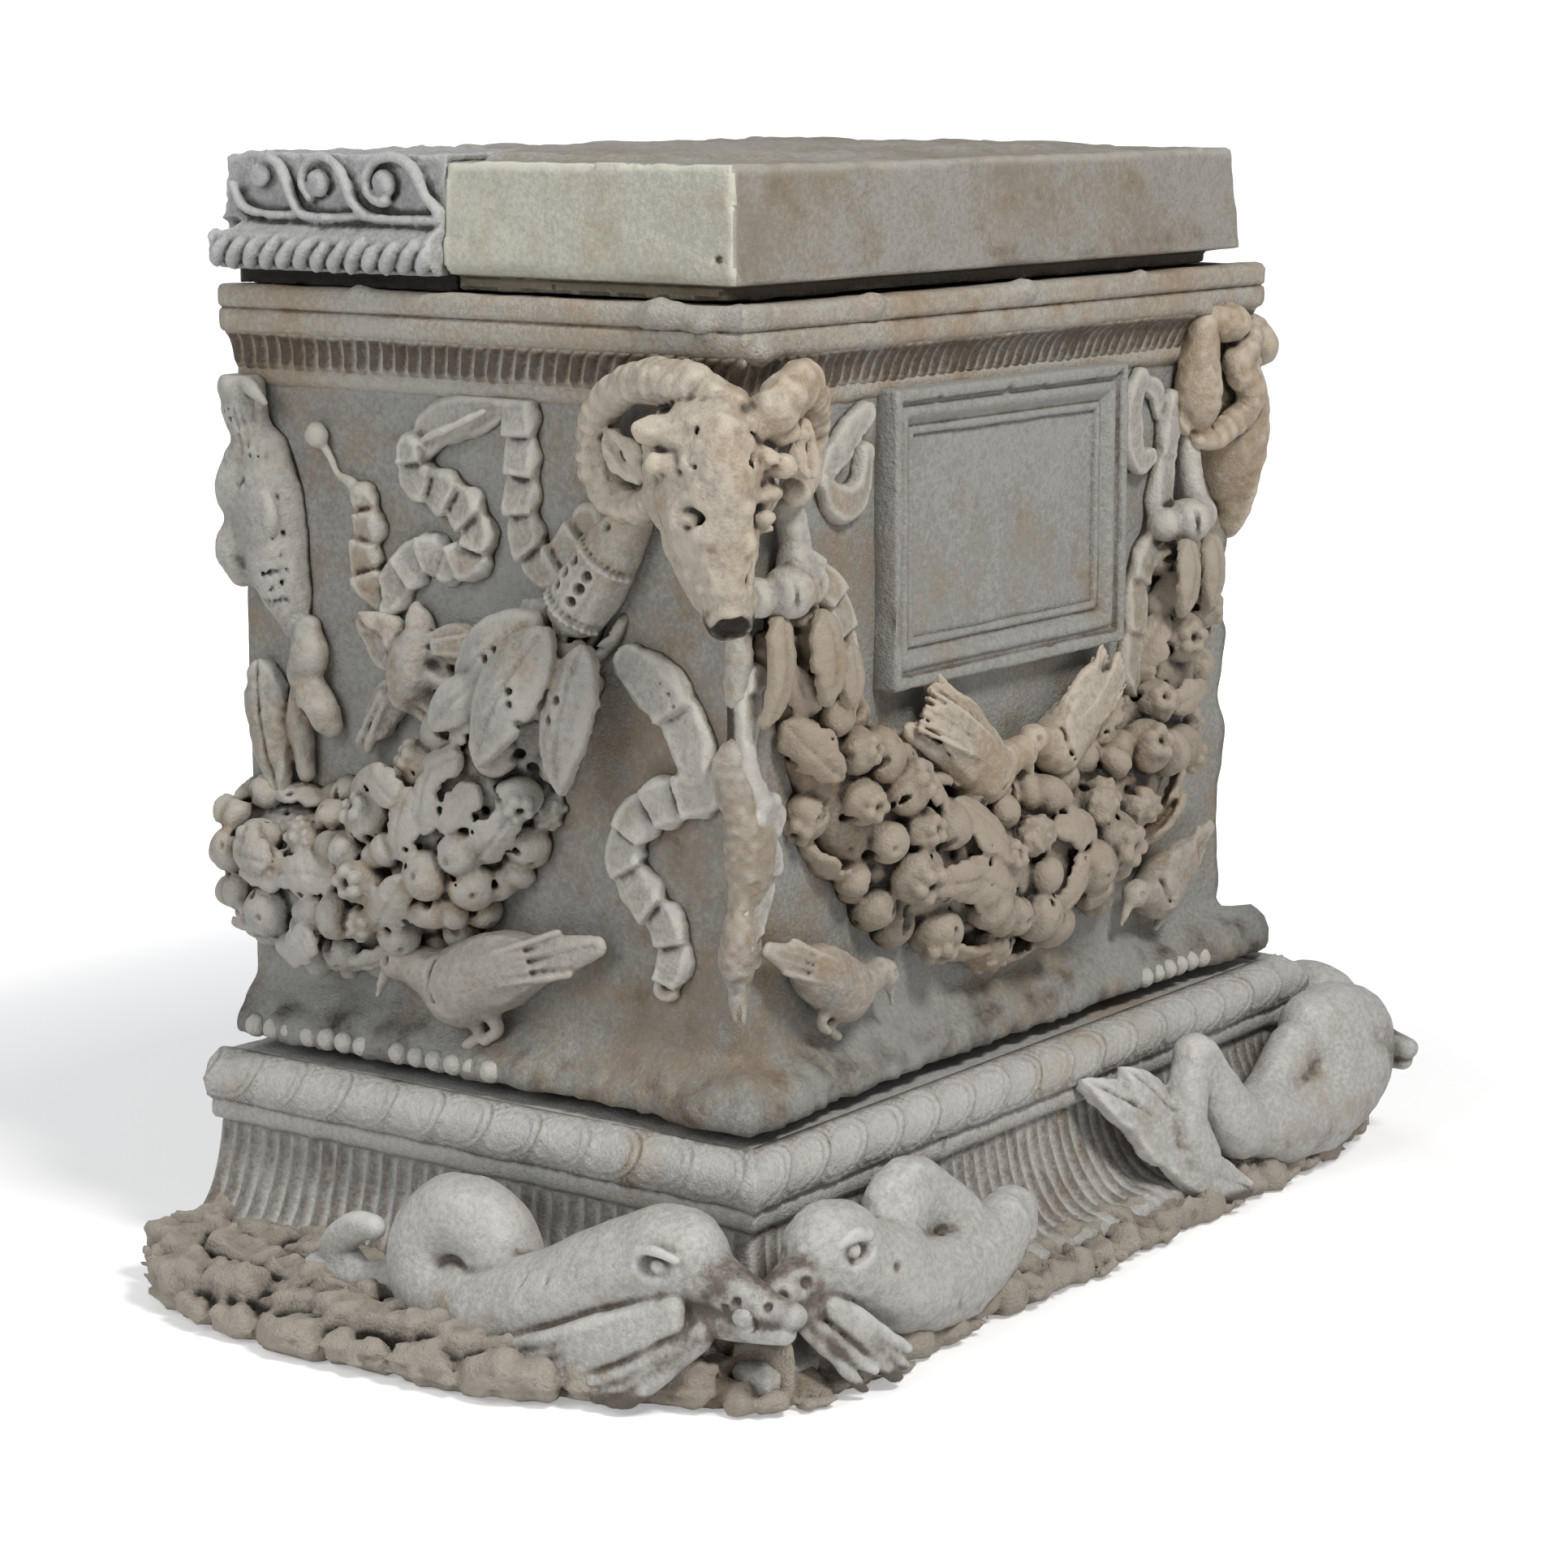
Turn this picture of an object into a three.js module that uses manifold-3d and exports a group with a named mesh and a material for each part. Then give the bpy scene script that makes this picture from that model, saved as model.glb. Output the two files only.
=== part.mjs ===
// A Roman marble ash chest: a carved box with a hollow for the ashes, a mended lid and a moulded plinth.
// Millimetres, Z up. The origin is on the floor under the middle of the chest's width, -Y is the front
// with the framed panel, and the back is plain and flush from the plinth to the lid.
import * as THREE from "three";
import { mergeVertices } from "three/addons/utils/BufferGeometryUtils.js";
import Module from "manifold-3d";

const wasm = await Module();
wasm.setup();

// Heights of the pieces, from the floor up
const plinthHeight = 90;
const shimHeight = 6;
const chestHeight = 326;
const lidHeight = 57;

// The chest's walls, measured from the origin, and its hollow
const chestHalfWidth = 188;
const chestFront = 125;
const chestBack = 139;
const hollowWall = 32;
const hollowDepth = 248;

// The cornice under the lid, from the top down
const corniceOverhang = 14;
const upperFilletHeight = 9;
const filletGroove = 2;
const lowerFilletHeight = 8;
const corniceFluteHeight = 17;
const corniceFlutePitch = 8;
const corniceFluteDepth = 2.2;
const corniceFluteSlant = 9;
const neckFilletHeight = 6;
const neckFilletStep = 2.5;

// The beaded course at the chest's foot
const footOverhang = 13;
const footHeight = 9;
const footSlope = 14;
const beadRadius = 5;
const beadPitch = 10.5;

// The framed panel on the front, left without letters
const panelLeft = 96;
const panelRight = 88;
const panelHeight = 126;
const panelOverlap = 4;
const panelRise = 12;
const panelBorder = 21;
const panelFieldRise = 5;
const panelBead = 6;

// Carving on the chest
const reliefBite = 6;
const sideGarlandRise = 36;
const frontGarlandRise = 30;
const leafLength = 34;
const ribbonWidth = 17;
const ribbonThickness = 5;
const ribbonWave = 4;
const strapWidth = 13;
const ramSkull = 28;
const ramReach = 46;
const brokenRamReach = 28;
const ramDrop = 84;
const ramCrownRise = 4;
const hornRadius = 12;
const hornSpanSide = 66;
const hornSpanFront = 50;
const hornHeight = 58;
const ramLean = 10;
const birdLength = 82;
const smallBirdLength = 78;
const perchedBirdHeight = 150;

// The plinth: the neck that carries its roll, the roll, the fluted hollow moulding and the rocky foot
const plinthSideLedge = 24;
const plinthFrontLedge = 23;
const rollRadius = 11;
const rollFilletHeight = 6;
const rollFilletStep = 6;
const plinthFluteFlare = 26;
const plinthFlutePitch = 9.5;
const plinthFluteDepth = 2.2;
const rockHeight = 20;
const rockSideReach = 106;
const rockFrontReach = 52;
const rockSize = 30;
const creatureSpan = 200;
const creatureRise = 66;
const creatureOut = 44;
const creatureGirth = 19;
const coilRadius = 18;

// The rubber pads between plinth and chest
const shimLength = 38;
const shimWidth = 26;
const shimInset = 22;

// The lid, its rebate and the join between its old and new marble
const lidSideOverhang = 13;
const lidFrontOverhang = 8;
const lidBatter = 4;
const lidRebateHeight = 7;
const lidRebateInset = 12;
const lidCornerRadius = 10;
const lidRoughRise = 3;
const lidRoughInset = 24;
const fragmentLength = 124;
const fragmentDepth = 112;
const jointGap = 0.3;
const ropeRadius = 8;
const ropePitch = 9;
const scrollRadius = 9;
const scrollBand = 2.5;
const scrollPitch = 36;
const dowelRadius = 4;
const dowelLength = 60;

// One overrun for every cut, and the distance within which points are one point
const overrun = 2;
const weldTolerance = 1e-4;

// Widths and depths worked out from the chest's
const plinthHalfWidth = chestHalfWidth + plinthSideLedge;
const plinthFront = chestFront + plinthFrontLedge;
const rockHalfWidth = plinthHalfWidth + rockSideReach;
const rockFront = plinthFront + rockFrontReach;
const lidHalfWidth = chestHalfWidth + lidSideOverhang;
const lidFront = chestFront + lidFrontOverhang;

// Levels worked out from the heights
const chestFoot = plinthHeight + shimHeight;
const chestTop = chestFoot + chestHeight;
const lidTop = chestTop + lidHeight;
const fasciaFoot = chestTop - upperFilletHeight - filletGroove - lowerFilletHeight;
const corniceFluteFoot = fasciaFoot - corniceFluteHeight;
const wallTop = corniceFluteFoot - neckFilletHeight;
const wallHeight = wallTop - chestFoot;
const wallDepth = chestFront + chestBack;
const panelTop = wallTop + panelOverlap;
const panelBottom = panelTop - panelHeight;
const ramCrownLevel = wallTop + ramCrownRise;

// Turns a closed three.js geometry into a solid whose faces point outwards.
function solid(geometry) {
  geometry.deleteAttribute("normal");
  geometry.deleteAttribute("uv");
  const merged = mergeVertices(geometry, weldTolerance);
  const vertProperties = merged.attributes.position.array;
  const triVerts = new Uint32Array(merged.index.array);
  const made = new wasm.Manifold(new wasm.Mesh({ numProp: 3, vertProperties, triVerts }));
  if (made.volume() > 0) return made;
  triVerts.reverse();
  return new wasm.Manifold(new wasm.Mesh({ numProp: 3, vertProperties, triVerts }));
}

// The direction a ring of points faces, by summing its edges.
function ringNormal(ring) {
  const normal = new THREE.Vector3();
  ring.forEach((point, i) => {
    normal.add(new THREE.Vector3().crossVectors(point, ring[(i + 1) % ring.length]));
  });
  return normal;
}

// Triangles that close a ring of points, seen from the side that its normal points to.
function capTriangles(ring) {
  const normal = ringNormal(ring);
  const size = normal.toArray().map(Math.abs);
  const thin = size.indexOf(Math.max(...size));
  const flat = ring.map((point) => new THREE.Vector2(...point.toArray().filter((_, axis) => axis !== thin)));
  return THREE.ShapeUtils.triangulateShape(flat, []).map(([a, b, c]) => {
    const along = new THREE.Vector3().subVectors(ring[b], ring[a]);
    const across = new THREE.Vector3().subVectors(ring[c], ring[a]);
    return along.cross(across).dot(normal) < 0 ? [a, c, b] : [a, b, c];
  });
}

// A closed solid through rings that all have the same number of points.
function loft(rings) {
  const count = rings[0].length;
  const faces = [];
  for (let ring = 0; ring + 1 < rings.length; ring += 1) {
    for (let i = 0; i < count; i += 1) {
      const a = ring * count + i;
      const b = ring * count + ((i + 1) % count);
      faces.push([a, b, b + count], [a, b + count, a + count]);
    }
  }
  const lastStart = (rings.length - 1) * count;
  capTriangles(rings[0]).forEach(([a, b, c]) => faces.push([a, c, b]));
  capTriangles(rings[rings.length - 1]).forEach((face) => faces.push(face.map((i) => i + lastStart)));
  const geometry = new THREE.BufferGeometry().setFromPoints(rings.flat());
  geometry.setIndex(faces.flat());
  return solid(geometry);
}

// A ring of the same outline at one level, for lofts that rise straight up.
function levelRing(outline, level) {
  return outline.map(([x, y]) => new THREE.Vector3(x, y, level));
}

// An upright slab with the given outline.
function slab(outline, bottom, top) {
  return loft([levelRing(outline, bottom), levelRing(outline, top)]);
}

// The corners of a rectangle.
function rectangle(left, right, front, back) {
  return [
    [left, front],
    [right, front],
    [right, back],
    [left, back],
  ];
}

// A box between two corners.
function block(low, high) {
  return slab(rectangle(low[0], high[0], low[1], high[1]), low[2], high[2]);
}

// A round lump with its three radii along three directions of its own.
function lump(centre, directions, radii, unit = new THREE.IcosahedronGeometry(1, 1)) {
  const axes = directions.map((direction, i) => direction.clone().normalize().multiplyScalar(radii[i]));
  const matrix = new THREE.Matrix4().makeBasis(...axes).setPosition(centre);
  return solid(unit.applyMatrix4(matrix));
}

// A small lump with fewer faces, for beads and rope strands.
function bead(centre, directions, radii) {
  return lump(centre, directions, radii, new THREE.OctahedronGeometry(1, 1));
}

// A round tube whose radius changes along smooth points. stops: [point, radius] pairs.
function taperedTube(stops, steps, sides) {
  const curve = new THREE.CatmullRomCurve3(stops.map(([point]) => point));
  const frames = curve.computeFrenetFrames(steps, false);
  const rings = [];
  for (let step = 0; step <= steps; step += 1) {
    const place = curve.getUtoTmapping(step / steps) * (stops.length - 1);
    const from = Math.min(Math.floor(place), stops.length - 2);
    const radius = THREE.MathUtils.lerp(stops[from][1], stops[from + 1][1], place - from);
    const centre = curve.getPointAt(step / steps);
    rings.push(circleRing(centre, frames.normals[step], frames.binormals[step], radius, sides));
  }
  return loft(rings);
}

// A ring of points round a centre, in the plane of two directions.
function circleRing(centre, first, second, radius, sides) {
  return Array.from({ length: sides }, (_, side) => {
    const angle = (side / sides) * 2 * Math.PI;
    const point = centre.clone().addScaledVector(first, radius * Math.cos(angle));
    return point.addScaledVector(second, radius * Math.sin(angle));
  });
}

// A moulding round the left, front and right of a block. profile: [out, level] pairs, top first.
function course(size, profile, flutes = null) {
  const inner = -size.bite;
  const rows = [...profile, [inner, profile[profile.length - 1][1]], [inner, profile[0][1]]];
  const corners = rows.map(([out, level]) => [
    new THREE.Vector3(-size.halfWidth - out, size.back, level),
    new THREE.Vector3(-size.halfWidth - out, -size.front - out, level),
    new THREE.Vector3(size.halfWidth + out, -size.front - out, level),
    new THREE.Vector3(size.halfWidth + out, size.back, level),
  ]);
  const rings = [];
  for (let side = 0; side < 3; side += 1) {
    const length = corners[0][side].distanceTo(corners[0][side + 1]);
    const columns = flutes ? 2 * Math.round(length / flutes.pitch) : 1;
    for (let column = side ? 1 : 0; column <= columns; column += 1) {
      rings.push(courseRing(corners, profile, side, column, columns, flutes));
    }
  }
  return loft(rings);
}

// One cut through a moulding: every second column lies at the bottom of a flute.
function courseRing(corners, profile, side, column, columns, flutes) {
  const inFlute = flutes !== null && column % 2 === 1;
  return corners.map((corner, row) => {
    const run = new THREE.Vector3().subVectors(corner[side + 1], corner[side]);
    const point = corner[side].clone().addScaledVector(run, column / columns);
    if (flutes === null || row >= profile.length) return point;
    const inward = new THREE.Vector3(-run.y, run.x, 0).normalize();
    const fade = Math.min(1, column / 2, (columns - column) / 2);
    const drop = (profile[0][1] - profile[row][1]) / (profile[0][1] - profile[profile.length - 1][1]);
    point.addScaledVector(run.normalize(), flutes.slant * fade * drop);
    return inFlute ? point.addScaledVector(inward, flutes.depth) : point;
  });
}

// Profile of a hollow moulding, a quarter of an ellipse from its narrow end to its wide end.
function hollowProfile(narrow, wide, steps) {
  return Array.from({ length: steps + 1 }, (_, step) => {
    const angle = (step / steps) * (Math.PI / 2);
    const out = THREE.MathUtils.lerp(narrow[0], wide[0], 1 - Math.cos(angle));
    return [out, THREE.MathUtils.lerp(narrow[1], wide[1], Math.sin(angle))];
  });
}

// Joins a list of solids into one.
function join(pieces) {
  return pieces.reduce((whole, piece) => whole.add(piece));
}

// A wall's own frame: along starts at its first corner, up is up and out leaves the stone.
function wallFrame(originX, alongX, alongY, outX, outY, length) {
  return {
    corner: new THREE.Vector3(originX, -chestFront, chestFoot),
    along: new THREE.Vector3(alongX, alongY, 0),
    up: new THREE.Vector3(0, 0, 1),
    out: new THREE.Vector3(outX, outY, 0),
    length,
  };
}
const leftWall = wallFrame(-chestHalfWidth, 0, 1, -1, 0, wallDepth);
const rightWall = wallFrame(chestHalfWidth, 0, 1, 1, 0, wallDepth);
const frontWall = wallFrame(-chestHalfWidth, 1, 0, 0, -1, 2 * chestHalfWidth);

// A place on a wall: shares of its length and height, and a distance out of it.
function onWall(wall, alongShare, upShare, out) {
  const point = wall.corner.clone().addScaledVector(wall.along, alongShare * wall.length);
  return point.addScaledVector(wall.up, upShare * wallHeight).addScaledVector(wall.out, out);
}

// The three directions of something that lies on a wall, turned by an angle.
function wallAxes(wall, angle) {
  const along = wall.along.clone().multiplyScalar(Math.cos(angle));
  along.addScaledVector(wall.up, Math.sin(angle));
  const across = wall.up.clone().multiplyScalar(Math.cos(angle));
  across.addScaledVector(wall.along, -Math.sin(angle));
  return [along, across, wall.out];
}

// A flat band that follows points on a wall and waves in and out like cloth.
function ribbon(wall, pathShares, width, waves) {
  const curve = new THREE.CatmullRomCurve3(pathShares.map(([along, up]) => onWall(wall, along, up, 0)));
  const steps = 2 * waves;
  const rings = [];
  for (let step = 0; step <= steps; step += 1) {
    const centre = curve.getPointAt(step / steps);
    const across = curve.getTangentAt(step / steps).cross(wall.out).normalize();
    const rise = ribbonThickness + (step % 2 === 1 ? ribbonWave : 0);
    const narrow = step === 0 || step === steps ? 0.6 : 1;
    rings.push(
      [
        [-1, -reliefBite],
        [1, -reliefBite],
        [1, rise],
        [-1, rise],
      ].map(([edge, out]) => {
        const point = centre.clone().addScaledVector(across, (edge * narrow * width) / 2);
        return point.addScaledVector(wall.out, out);
      }),
    );
  }
  return loft(rings);
}

// The swelling mass that a garland's fruit and leaves stand out of.
function garlandCore(wall, line, rise, steps) {
  const sectionShares = [
    [-1, 0],
    [1, 0],
    [0.9, 0.4],
    [0.45, 0.8],
    [-0.45, 0.8],
    [-0.9, 0.4],
  ];
  const rings = [];
  for (let step = 0; step <= steps; step += 1) {
    const place = line.getPoint(step / steps);
    rings.push(
      sectionShares.map(([across, out]) => {
        const reach = out > 0 ? out * rise : -reliefBite;
        return onWall(wall, place.x, place.y + across * place.z, reach);
      }),
    );
  }
  return loft(rings);
}

// A hanging garland: rows of fruit along a line. lineShares: along, up and half its width.
function garland(wall, lineShares, rise, alongCount, rows) {
  const line = new THREE.CatmullRomCurve3(lineShares.map((stop) => new THREE.Vector3(...stop)));
  const pieces = [garlandCore(wall, line, rise, alongCount)];
  for (let i = 0; i < alongCount; i += 1) {
    for (let row = 0; row < rows; row += 1) {
      const place = line.getPoint((i + 0.35 + 0.3 * (row % 2)) / alongCount);
      const across = ((row + 0.5) / rows) * 2 - 1;
      const swell = 1 + 0.12 * Math.sin(7 * i + 4 * row);
      const radius = ((place.z * wallHeight) / rows) * swell;
      const centre = onWall(wall, place.x, place.y + across * place.z * 0.9, 0);
      pieces.push(bead(centre, wallAxes(wall, i + row), [radius, radius * 0.9, rise * swell]));
    }
  }
  return pieces;
}

// Two broad leaves that cover the upper end of a side garland.
function leaves(wall) {
  const upperRadii = [leafLength, leafLength * 0.5, sideGarlandRise * 0.8];
  const lowerRadii = [leafLength, leafLength * 0.4, sideGarlandRise * 0.7];
  return [
    bead(onWall(wall, 0.33, 0.6, 0), wallAxes(wall, -0.9), upperRadii),
    bead(onWall(wall, 0.26, 0.52, 0), wallAxes(wall, -1.5), lowerRadii),
  ];
}

// A bird in relief: body, head, folded wing and a flat tail. turn lifts its head, facing is 1 or -1.
function bird(wall, alongShare, upShare, length, turn, facing) {
  const axes = wallAxes(wall, turn);
  axes[0].multiplyScalar(facing);
  const centre = onWall(wall, alongShare, upShare, 0);
  const at = (forward, over, out) => {
    const point = centre.clone().addScaledVector(axes[0], forward * length);
    return point.addScaledVector(axes[1], over * length).addScaledVector(axes[2], out * length);
  };
  const tailWidthShares = [0.08, 0.17];
  const tail = loft(
    [-0.2, -0.55].map((forward, i) => [
      at(forward, -tailWidthShares[i], -0.05),
      at(forward, tailWidthShares[i], -0.05),
      at(forward, tailWidthShares[i], 0.09),
      at(forward, -tailWidthShares[i], 0.09),
    ]),
  );
  return [
    bead(at(0, 0, 0), axes, [0.3 * length, 0.17 * length, 0.2 * length]),
    bead(at(0.32, 0.08, 0), axes, [0.12 * length, 0.1 * length, 0.17 * length]),
    bead(at(-0.1, 0.05, 0), axes, [0.24 * length, 0.12 * length, 0.23 * length]),
    tail,
  ];
}

// A bird that perches upright at a back corner, with its long folded wing and feet below it.
function perchedBird(wall) {
  const size = perchedBirdHeight;
  const axes = wallAxes(wall, 0);
  return [
    lump(onWall(wall, 0.94, 0.8, 0), axes, [0.16 * size, 0.36 * size, 0.15 * size]),
    bead(onWall(wall, 0.96, 1.0, 0), axes, [0.1 * size, 0.1 * size, 0.14 * size]),
    bead(onWall(wall, 0.9, 0.72, 0), wallAxes(wall, -0.15), [0.1 * size, 0.36 * size, 0.14 * size]),
    bead(onWall(wall, 0.86, 0.58, 0), axes, [0.1 * size, 0.07 * size, 0.1 * size]),
    bead(onWall(wall, 0.92, 0.47, 0), wallAxes(wall, 0.2), [0.07 * size, 0.18 * size, 0.1 * size]),
    bead(onWall(wall, 0.83, 0.52, 0), wallAxes(wall, -0.3), [0.05 * size, 0.12 * size, 0.07 * size]),
  ];
}

// One horn: it leaves the brow, curls over and comes back under the ear along its wall.
function horn(wall, fromCornerSign, span, headReach) {
  const stopShares = [
    [0.1, 0.82, 0.8, 0.9],
    [0.42, 1.02, 0.64, 1],
    [0.82, 0.84, 0.38, 1],
    [0.94, 0.42, 0.3, 0.95],
    [0.76, 0.08, 0.32, 0.8],
    [0.46, 0.04, 0.45, 0.55],
    [0.34, 0.28, 0.58, 0.3],
  ];
  const start = fromCornerSign > 0 ? 0 : 1;
  const stops = stopShares.map(([along, up, out, thick]) => {
    const alongShare = start + (fromCornerSign * along * span) / wall.length;
    const sunk = (ramReach - headReach) * 0.5;
    const level = ramCrownLevel - sunk - 0.82 * hornHeight + up * hornHeight;
    const reach = out * (headReach - hornRadius);
    return [onWall(wall, alongShare, (level - chestFoot) / wallHeight, reach), thick * hornRadius];
  });
  return taperedTube(stops, 10, 6);
}

// A ram's head at a front corner: skull, long muzzle, ears and two curled horns. Where the face is
// broken off, a low stump of the skull is left between the horns.
function ramHead(hand, whole) {
  const outward = new THREE.Vector3(hand, -1, 0).normalize();
  const across = new THREE.Vector3(1, hand, 0).normalize();
  const corner = new THREE.Vector3(hand * chestHalfWidth, -chestFront, 0);
  corner.addScaledVector(across, hand * ramLean);
  const up = new THREE.Vector3(0, 0, 1);
  const at = (side, out, level) => {
    const point = corner.clone().addScaledVector(across, side).addScaledVector(outward, out);
    return point.setZ(level);
  };
  const muzzleShares = [
    [0.16, 0.45, 0.92],
    [0.45, 0.6, 0.8],
    [0.72, 0.7, 0.66],
    [0.9, 0.72, 0.6],
    [0.99, 0.68, 0.36],
  ];
  const muzzle = muzzleShares.map(([fall, out, thick]) => [
    at(0, out * ramReach, ramCrownLevel - fall * ramDrop),
    thick * ramSkull * 0.8,
  ]);
  const wall = hand < 0 ? leftWall : rightWall;
  const ear = (side) => {
    const tilt = [across.clone().multiplyScalar(side).addScaledVector(outward, -0.6), up, outward];
    return bead(at(side * ramSkull * 1.25, ramReach * 0.3, ramCrownLevel - 0.3 * ramDrop), tilt, [
      ramSkull * 0.6,
      ramSkull * 0.24,
      ramSkull * 0.3,
    ]);
  };
  const headReach = whole ? ramReach : brokenRamReach;
  const horns = [
    horn(wall, 1, hornSpanSide, headReach),
    horn(frontWall, hand < 0 ? 1 : -1, hornSpanFront, headReach),
  ];
  const skull = (out, level, radii) => lump(at(0, out, level), [across, outward, up], radii);
  const stumpRadii = [ramSkull, brokenRamReach * 0.8, ramSkull * 1.3];
  if (!whole) return [skull(0, ramCrownLevel - 0.4 * ramDrop, stumpRadii), ...horns];
  const skullRadii = [ramSkull, ramSkull, ramSkull];
  return [
    skull(ramReach * 0.4, ramCrownLevel - 0.2 * ramDrop, skullRadii),
    taperedTube(muzzle, 4, 7),
    ear(-1),
    ear(1),
    ...horns,
  ];
}

// The twisted ribbon that hangs below a ram's head, on both walls of the corner.
function cornerRibbons(hand) {
  const sidePathShares = [
    [0.16, 0.68],
    [0.08, 0.58],
    [0.03, 0.5],
    [0.1, 0.44],
    [0.2, 0.38],
    [0.2, 0.31],
    [0.12, 0.24],
    [0.15, 0.16],
  ];
  const frontPathShares = [
    [0.04, 0.66],
    [0.02, 0.56],
    [0.035, 0.47],
    [0.02, 0.4],
    [0.03, 0.3],
  ];
  const turned = frontPathShares.map(([along, up]) => [hand < 0 ? along : 1 - along, up]);
  const sideWall = hand < 0 ? leftWall : rightWall;
  return [ribbon(sideWall, sidePathShares, strapWidth, 7), ribbon(frontWall, turned, strapWidth, 4)];
}

// Fluttering ribbons, garland, small winged creature and bird on a side wall.
function sideCarving(wall) {
  const straightRibbonShares = [
    [0.41, 0.99],
    [0.41, 0.88],
    [0.39, 0.8],
    [0.34, 0.76],
    [0.28, 0.82],
  ];
  const loopedRibbonShares = [
    [0.43, 0.99],
    [0.52, 0.99],
    [0.61, 0.93],
    [0.57, 0.87],
    [0.49, 0.8],
    [0.54, 0.75],
    [0.63, 0.74],
    [0.7, 0.69],
    [0.74, 0.75],
    [0.73, 0.82],
    [0.8, 0.9],
  ];
  const garlandShares = [
    [0.26, 0.68, 0.06],
    [0.36, 0.55, 0.11],
    [0.47, 0.43, 0.15],
    [0.6, 0.33, 0.16],
    [0.74, 0.27, 0.16],
    [0.88, 0.27, 0.15],
    [0.97, 0.33, 0.13],
  ];
  return [
    ribbon(wall, straightRibbonShares, ribbonWidth, 5),
    ribbon(wall, loopedRibbonShares, ribbonWidth, 9),
    ...garland(wall, garlandShares, sideGarlandRise, 5, 3),
    ...leaves(wall),
    ...bird(wall, 0.6, 0.6, smallBirdLength, -0.35, -1),
    ...bird(wall, 0.47, 0.12, birdLength * 1.25, 2.85, 1),
    ...perchedBird(wall),
  ];
}

// Ribbon bows, straps, garland and four birds on the front wall.
function frontCarving() {
  const leftBowShares = [
    [0.22, 0.97],
    [0.16, 0.96],
    [0.135, 0.9],
    [0.17, 0.86],
    [0.22, 0.88],
  ];
  const rightBowShares = leftBowShares.map(([along, up]) => [0.975 - along, up]);
  const strapShares = [
    [0.88, 0.82],
    [0.84, 0.72],
    [0.79, 0.62],
    [0.83, 0.52],
  ];
  const garlandShares = [
    [0.09, 0.74, 0.05],
    [0.115, 0.6, 0.08],
    [0.17, 0.47, 0.11],
    [0.27, 0.35, 0.13],
    [0.4, 0.28, 0.14],
    [0.53, 0.26, 0.14],
    [0.66, 0.31, 0.13],
    [0.78, 0.4, 0.11],
    [0.87, 0.53, 0.08],
    [0.91, 0.7, 0.05],
  ];
  return [
    ribbon(frontWall, leftBowShares, ribbonWidth, 4),
    ribbon(frontWall, rightBowShares, ribbonWidth, 4),
    ribbon(frontWall, strapShares, strapWidth, 4),
    ...garland(frontWall, garlandShares, frontGarlandRise, 9, 2),
    ...bird(frontWall, 0.36, 0.47, smallBirdLength, -0.55, 1),
    ...bird(frontWall, 0.62, 0.49, smallBirdLength, 0.65, -1),
    ...bird(frontWall, 0.17, 0.16, smallBirdLength, -0.75, 1),
    ...bird(frontWall, 0.84, 0.17, smallBirdLength, 0.75, -1),
  ];
}

// The raised frame and sunk field of the bare panel.
function panel() {
  const wallFace = -chestFront;
  const outer = block(
    [-panelLeft, wallFace - panelRise, panelBottom],
    [panelRight, wallFace + reliefBite, panelTop],
  );
  const stepBack = (inset, rise) =>
    block(
      [-panelLeft + inset, wallFace - panelRise - overrun, panelBottom + inset],
      [panelRight - inset, wallFace - rise, panelTop - inset],
    );
  const middleRise = (panelRise + panelFieldRise) / 2;
  const sunk = outer.subtract(stepBack(panelBead, middleRise));
  return sunk.subtract(stepBack(panelBorder, panelFieldRise));
}

// Beads that survive along the foot of a wall, between two shares of its length.
function beadRun(wall, fromShare, toShare) {
  const count = Math.floor(((toShare - fromShare) * wall.length) / beadPitch);
  const level = (beadRadius * 0.8) / wallHeight;
  return Array.from({ length: count }, (_, i) => {
    const share = fromShare + ((i + 0.5) / count) * (toShare - fromShare);
    const radii = [beadRadius, beadRadius, beadRadius];
    const unit = new THREE.OctahedronGeometry(1, 0);
    return lump(onWall(wall, share, level, footOverhang), wallAxes(wall, 0), radii, unit);
  });
}

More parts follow.
